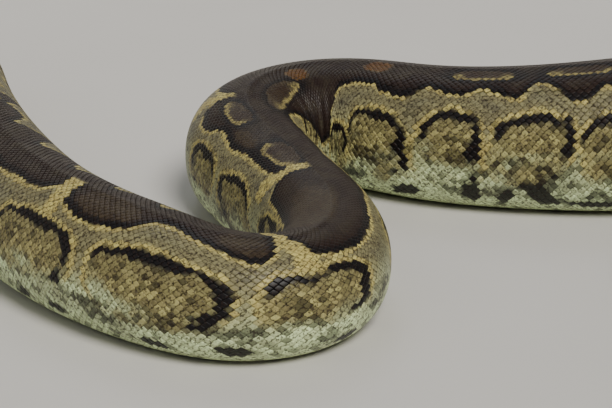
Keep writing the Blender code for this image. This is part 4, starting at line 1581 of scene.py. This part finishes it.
class Nodes:
    """A small hand for laying out shader nodes."""

    def __init__(self, tree: bpy.types.NodeTree) -> None:
        """Start in a node tree."""
        self.tree = tree

    def add(self, kind: str, **settings: object) -> bpy.types.Node:
        """Add a node and set its fields."""
        node = self.tree.nodes.new(kind)
        for name, value in settings.items():
            setattr(node, name, value)
        return node

    def join(self, source: bpy.types.NodeSocket, target: bpy.types.NodeSocket) -> None:
        """Link two sockets."""
        self.tree.links.new(source, target)

    def math(self, operation: str, first: object, second: object = 0.0) -> bpy.types.NodeSocket:
        """One sum on two sockets or numbers."""
        node = self.add("ShaderNodeMath", operation=operation)
        for socket, value in zip(node.inputs, (first, second)):
            if isinstance(value, bpy.types.NodeSocket):
                self.join(value, socket)
            else:
                socket.default_value = value
        return node.outputs[0]

    def mix(self, share: object, first: object, second: object, blend: str = "MIX") -> bpy.types.NodeSocket:
        """One colour laid over another."""
        node = self.add("ShaderNodeMix", data_type="RGBA", blend_type=blend)
        for socket, value in ((node.inputs[0], share), (node.inputs[6], first), (node.inputs[7], second)):
            if isinstance(value, bpy.types.NodeSocket):
                self.join(value, socket)
            else:
                socket.default_value = value if isinstance(value, float) else (*value, 1.0)
        return node.outputs[2]

    def noise(self, place: bpy.types.NodeSocket, scale: float, detail: float = 2.0) -> bpy.types.NodeSocket:
        """Soft random values over a surface."""
        node = self.add("ShaderNodeTexNoise")
        node.inputs["Scale"].default_value = scale
        node.inputs["Detail"].default_value = detail
        self.join(place, node.inputs["Vector"])
        return node.outputs["Fac"]

    def rise(self, value: bpy.types.NodeSocket, start: float, end: float, low: float,
             high: float) -> bpy.types.NodeSocket:
        """Go from one value to another between two limits."""
        node = self.add("ShaderNodeMapRange")
        for name, number in (("From Min", start), ("From Max", end), ("To Min", low), ("To Max", high)):
            node.inputs[name].default_value = number
        self.join(value, node.inputs["Value"])
        return node.outputs[0]

    def object_place(self) -> bpy.types.NodeSocket:
        """The object's own coordinates."""
        return self.add("ShaderNodeTexCoord").outputs["Object"]


class Paints:
    """The materials, and the node groups that they share."""

    TONES = ("ground", "pale", "buff", "olive", "dark", "edge", "rust")

    def __init__(self) -> None:
        """Build the shared groups."""
        self.markings = self._markings_group()
        self.breakup = self._breakup_group()

    def _markings_group(self) -> bpy.types.NodeTree:
        """A group that lays the tones over each other by the surface's marks, with painted shade at scale
        borders.
        """
        tree = bpy.data.node_groups.new("scale_markings", "ShaderNodeTree")
        for tone in self.TONES:
            tree.interface.new_socket(name=tone, in_out="INPUT", socket_type="NodeSocketColor")
        for name in ("rim", "shade", "stipple"):
            tree.interface.new_socket(name=name, in_out="INPUT", socket_type="NodeSocketFloat")
        tree.interface.new_socket(name="Color", in_out="OUTPUT", socket_type="NodeSocketColor")
        tree.interface.new_socket(name="Dome", in_out="OUTPUT", socket_type="NodeSocketFloat")
        n = Nodes(tree)
        given, result = n.add("NodeGroupInput"), n.add("NodeGroupOutput")
        marks = n.add("ShaderNodeAttribute", attribute_name="marks")
        tints = n.add("ShaderNodeAttribute", attribute_name="tints")
        mark, tint = n.add("ShaderNodeSeparateColor"), n.add("ShaderNodeSeparateColor")
        n.join(marks.outputs["Color"], mark.inputs[0])
        n.join(tints.outputs["Color"], tint.inputs[0])
        place = n.object_place()
        grain = n.math("ADD", n.math("MULTIPLY", tint.outputs[2], 0.36),
                       n.math("ADD", n.math("MULTIPLY", n.noise(place, 620.0), 0.90), 0.37))
        colour = n.mix(tint.outputs[1], given.outputs["ground"], given.outputs["pale"])
        colour = n.mix(mark.outputs[2], colour, given.outputs["buff"])
        colour = n.mix(marks.outputs["Alpha"], colour, given.outputs["olive"])
        colour = n.mix(mark.outputs[0], colour, given.outputs["dark"])
        colour = n.mix(tint.outputs[0], colour, given.outputs["rust"])
        colour = n.mix(mark.outputs[1], colour, given.outputs["edge"])
        dotted = n.rise(n.noise(place, 480.0, 3.0), 0.53, 0.61, 0.0, 1.0)
        dots = n.math("MULTIPLY", dotted, given.outputs["stipple"])
        colour = n.mix(dots, colour, given.outputs["dark"])
        hue = n.add("ShaderNodeHueSaturation")
        n.join(n.math("ADD", n.math("MULTIPLY", tint.outputs[2], 0.012), 0.494), hue.inputs["Hue"])
        n.join(grain, hue.inputs["Value"])
        n.join(colour, hue.inputs["Color"])
        # Painted shade: darken towards each scale's border by rim, and all over by shade.
        gain = n.math("MULTIPLY", tints.outputs["Alpha"], n.math("SUBTRACT", 1.0, given.outputs["rim"]))
        light = n.math("ADD", gain, given.outputs["rim"])
        light = n.math("MULTIPLY", light, given.outputs["shade"])
        scaled = n.add("ShaderNodeVectorMath", operation="SCALE")
        n.join(hue.outputs[0], scaled.inputs[0])
        n.join(light, scaled.inputs["Scale"])
        n.join(scaled.outputs[0], result.inputs["Color"])
        n.join(tints.outputs["Alpha"], result.inputs["Dome"])
        return tree

    def _breakup_group(self) -> bpy.types.NodeTree:
        """A group that gives uneven gloss and a fine height over the surface."""
        tree = bpy.data.node_groups.new("gloss_breakup", "ShaderNodeTree")
        for name in ("Roughness", "Spread", "Grain"):
            tree.interface.new_socket(name=name, in_out="INPUT", socket_type="NodeSocketFloat")
        tree.interface.new_socket(name="Roughness", in_out="OUTPUT", socket_type="NodeSocketFloat")
        tree.interface.new_socket(name="Height", in_out="OUTPUT", socket_type="NodeSocketFloat")
        n = Nodes(tree)
        given, result = n.add("NodeGroupInput"), n.add("NodeGroupOutput")
        place = n.object_place()
        fine = n.add("ShaderNodeTexNoise")
        fine.inputs["Detail"].default_value = 2.0
        n.join(place, fine.inputs["Vector"])
        n.join(given.outputs["Grain"], fine.inputs["Scale"])
        broad = n.noise(place, 38.0, 3.0)
        swing = n.math("MULTIPLY", n.math("SUBTRACT", broad, 0.5), given.outputs["Spread"])
        n.join(n.math("ADD", given.outputs["Roughness"], swing), result.inputs["Roughness"])
        n.join(fine.outputs["Fac"], result.inputs["Height"])
        return tree

    @staticmethod
    def _blank(name: str) -> tuple[bpy.types.Material, Nodes, bpy.types.Node]:
        """A new material with its Principled shader."""
        material = bpy.data.materials.new(name)
        material.use_nodes = True
        return material, Nodes(material.node_tree), material.node_tree.nodes["Principled BSDF"]

    def scales(self, finish: ScaleFinish) -> bpy.types.Material:
        """A scaled surface in the animal's pattern.

        Args:
            finish: Its colours and gloss.

        Returns:
            The material.
        """
        material, n, shader = self._blank(finish.name)
        paint = n.add("ShaderNodeGroup", node_tree=self.markings)
        for tone in self.TONES:
            paint.inputs[tone].default_value = (*getattr(finish, tone), 1.0)
        paint.inputs["rim"].default_value = finish.rim
        paint.inputs["shade"].default_value = finish.shade
        paint.inputs["stipple"].default_value = finish.stipple
        n.join(paint.outputs["Color"], shader.inputs["Base Color"])
        gloss = n.add("ShaderNodeGroup", node_tree=self.breakup)
        gloss.inputs["Roughness"].default_value = finish.roughness
        gloss.inputs["Spread"].default_value = 0.22
        gloss.inputs["Grain"].default_value = 900.0
        n.join(gloss.outputs["Roughness"], shader.inputs["Roughness"])
        bump = n.add("ShaderNodeBump")
        bump.inputs["Strength"].default_value = finish.bump
        bump.inputs["Distance"].default_value = 0.0002
        n.join(gloss.outputs["Height"], bump.inputs["Height"])
        n.join(bump.outputs[0], shader.inputs["Normal"])
        shader.inputs["Specular IOR Level"].default_value = 0.17
        shader.inputs["Coat Weight"].default_value = finish.coat
        shader.inputs["Coat Roughness"].default_value = 0.28
        return material

    def eye(self) -> bpy.types.Material:
        """A wet, dark golden iris with an upright slit."""
        material, n, shader = self._blank("wet_eye")
        place = n.add("ShaderNodeUVMap", uv_map="iris")
        parts = n.add("ShaderNodeSeparateXYZ")
        n.join(place.outputs[0], parts.inputs[0])
        x = n.math("SUBTRACT", parts.outputs[0], 0.5)
        y = n.math("SUBTRACT", parts.outputs[1], 0.5)
        away = n.math("SQRT", n.math("ADD", n.math("MULTIPLY", x, x), n.math("MULTIPLY", y, y)))
        slit = n.math("ADD", n.math("POWER", n.math("MULTIPLY", x, 13.0), 2.0),
                      n.math("POWER", n.math("MULTIPLY", y, 3.3), 2.0))
        pupil = n.math("LESS_THAN", slit, 1.0)
        gold = n.math("MULTIPLY", n.rise(away, 0.12, 0.46, 1.0, 0.0), n.noise(place.outputs[0], 34.0, 4.0))
        iris = n.mix(gold, (0.060, 0.034, 0.014), (0.62, 0.38, 0.10))
        n.join(n.mix(pupil, iris, (0.002, 0.002, 0.002)), shader.inputs["Base Color"])
        shader.inputs["Roughness"].default_value = 0.40
        shader.inputs["Coat Weight"].default_value = 1.0
        shader.inputs["Coat Roughness"].default_value = 0.02
        return material

    def lip(self) -> bpy.types.Material:
        """Near-black, slightly moist finish of the mouth's line: painted shade of the crease where the lips
        meet.
        """
        material, n, shader = self._blank("mouth_crease_shade")
        cloud = n.noise(n.object_place(), 500.0)
        n.join(n.mix(cloud, (0.006, 0.004, 0.003), (0.030, 0.017, 0.012)), shader.inputs["Base Color"])
        shader.inputs["Roughness"].default_value = 0.5
        return material

    def horn(self) -> bpy.types.Material:
        """Polished brown horn, darker in streaks."""
        material, n, shader = self._blank("claw_horn")
        streaks = n.noise(n.object_place(), 420.0, 3.0)
        n.join(n.mix(streaks, (0.065, 0.040, 0.022), (0.30, 0.22, 0.13)), shader.inputs["Base Color"])
        shader.inputs["Roughness"].default_value = 0.30
        shader.inputs["Coat Weight"].default_value = 0.4
        return material

    def floor(self) -> bpy.types.Material:
        """Plain pale studio floor."""
        material, n, shader = self._blank("pale_floor")
        cloud = n.noise(n.object_place(), 3.0)
        n.join(n.mix(cloud, (0.57, 0.555, 0.53), (0.63, 0.615, 0.59)), shader.inputs["Base Color"])
        shader.inputs["Roughness"].default_value = 0.65
        return material


# ---------------------------------------------------------------- studio
@dataclass
class Studio:
    """Pale floor that sweeps up into a wall, soft lights, and the camera low over the front bends."""

    surface: Surface
    look_at: float = 1.503                  # distance along the body that the view is centred near
    aside: tuple[float, float] = (0.0207, 0.0932)
    elevation: float = 20.0
    distance: float = 1.7357
    lens: float = 120.2
    sensor: float = 36.0
    floor_radius: float = 13.0
    cove: float = 3.0
    wall: float = 8.0
    lights: tuple[tuple[str, tuple[float, float, float], float, float, Colour], ...] = (
        ("key", (0.75, -1.50, 2.00), 26.0, 3.30, (1.0, 0.965, 0.90)),
        ("back", (-0.30, 1.70, 1.90), 24.0, 0.30, (0.90, 0.95, 1.0)),
        ("fill", (-2.00, -1.20, 1.60), 50.0, 0.40, (0.95, 0.97, 1.0)))

    def build(self, paints: Paints) -> None:
        """Set the floor, the lights, the world and the camera.

        Args:
            paints: The materials, for the floor's own.
        """
        deselect()
        turn = np.linspace(0.0, 0.5 * math.pi, 13)
        profile = [(0.0, 0.0), (2.0, 0.0), (6.0, 0.0)]
        profile += [(self.floor_radius + self.cove * math.sin(t), self.cove - self.cove * math.cos(t))
                    for t in turn]
        profile.append((self.floor_radius + self.cove, self.wall))
        sheet = bpy.data.meshes.new("studio_floor")
        sheet.from_pydata([(x, 0.0, z) for x, z in profile],
                          [(k, k + 1) for k in range(len(profile) - 1)], [])
        floor = linked("studio_floor", sheet)
        floor.select_set(True)
        bpy.context.view_layer.objects.active = floor
        spin = floor.modifiers.new("spin", "SCREW")
        spin.steps = spin.render_steps = 96
        spin.use_merge_vertices = True
        spin.use_normal_flip = True
        bpy.ops.object.modifier_apply(modifier=spin.name)
        bpy.ops.object.shade_smooth()
        floor.data.materials.append(paints.floor())
        line = self.surface.line
        target = Vector((np.interp(self.look_at, line.along, line.x) + self.aside[0],
                         np.interp(self.look_at, line.along, line.y) + self.aside[1], 0.0))
        for name, place, spread, strength, colour in self.lights:
            data = bpy.data.lights.new(name, "SUN")
            data.angle, data.energy, data.color = math.radians(spread), strength, colour
            self._aimed(linked(name, data), target + Vector(place), target)
        world = bpy.data.worlds.new("studio_air")
        world.use_nodes = True
        world.node_tree.nodes["Background"].inputs[0].default_value = (0.80, 0.82, 0.85, 1.0)
        world.node_tree.nodes["Background"].inputs[1].default_value = 0.20
        bpy.context.scene.world = world
        rise = math.radians(self.elevation)
        data = bpy.data.cameras.new("camera")
        data.lens, data.sensor_width, data.sensor_fit = self.lens, self.sensor, "HORIZONTAL"
        camera = linked("camera", data)
        away = Vector((0.0, -math.cos(rise), math.sin(rise))) * self.distance
        self._aimed(camera, target + away, target)
        bpy.context.scene.camera = camera

    @staticmethod
    def _aimed(thing: bpy.types.Object, place: Vector, target: Vector) -> None:
        """Put a lamp or camera at a place, pointing at a target."""
        thing.location = place
        thing.rotation_euler = (target - place).to_track_quat("-Z", "Y").to_euler()


# The skin between the scales is painted in shade, at about a third of its colour's brightness.
SKIN = ScaleFinish("skin_between", rim=0.5, shade=0.55, stipple=0.3, roughness=0.55, coat=0.0, bump=0.3)
COAT = ScaleFinish("body_scales")
BELLY = ScaleFinish("belly_scales", pale=(0.520, 0.500, 0.310), rim=0.6, stipple=0.12, roughness=0.40)
HEAD = ScaleFinish("head_scales", pale=(0.560, 0.500, 0.320), rim=0.5, stipple=0.16)
FLESH_NODES = ["head", "neck"] + [f"trunk_{i:02d}" for i in range(1, 12)] + ["tail_base", "tail_tip"]


def main() -> None:
    """Build the animal and the studio round it."""
    logging.basicConfig(level=logging.INFO, format="%(name)s: %(message)s")
    surface = fitted_surface()
    markings = Markings(surface)
    paints = Paints()
    settle(Skin(surface, markings).build(), paints.scales(SKIN), "body_skin", *FLESH_NODES)
    coat = ScaleCoat(surface, markings)
    body_paint = paints.scales(COAT)
    for piece in coat.build():
        settle(piece, body_paint, "body_skin")
    settle(BellyPlates(surface, markings, coat).build(), paints.scales(BELLY), "body_skin")
    low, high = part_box("eye_right")
    settle(HeadShields(surface, markings, (low + high) / 2.0).build(), paints.scales(HEAD), "head_skin")
    settle(MouthSeam(surface).build(), paints.lip(), "head_skin")
    eye_paint, horn = paints.eye(), paints.horn()
    for node in ("eye_left", "eye_right"):
        settle(Eye(node, surface).build(), eye_paint, "eye", node)
    for node in ("spur_left", "spur_right"):
        settle(Spur(node, surface).build(), horn, "spur_horn", node)
    Studio(surface).build(paints)


if __name__ == "__main__":
    main()
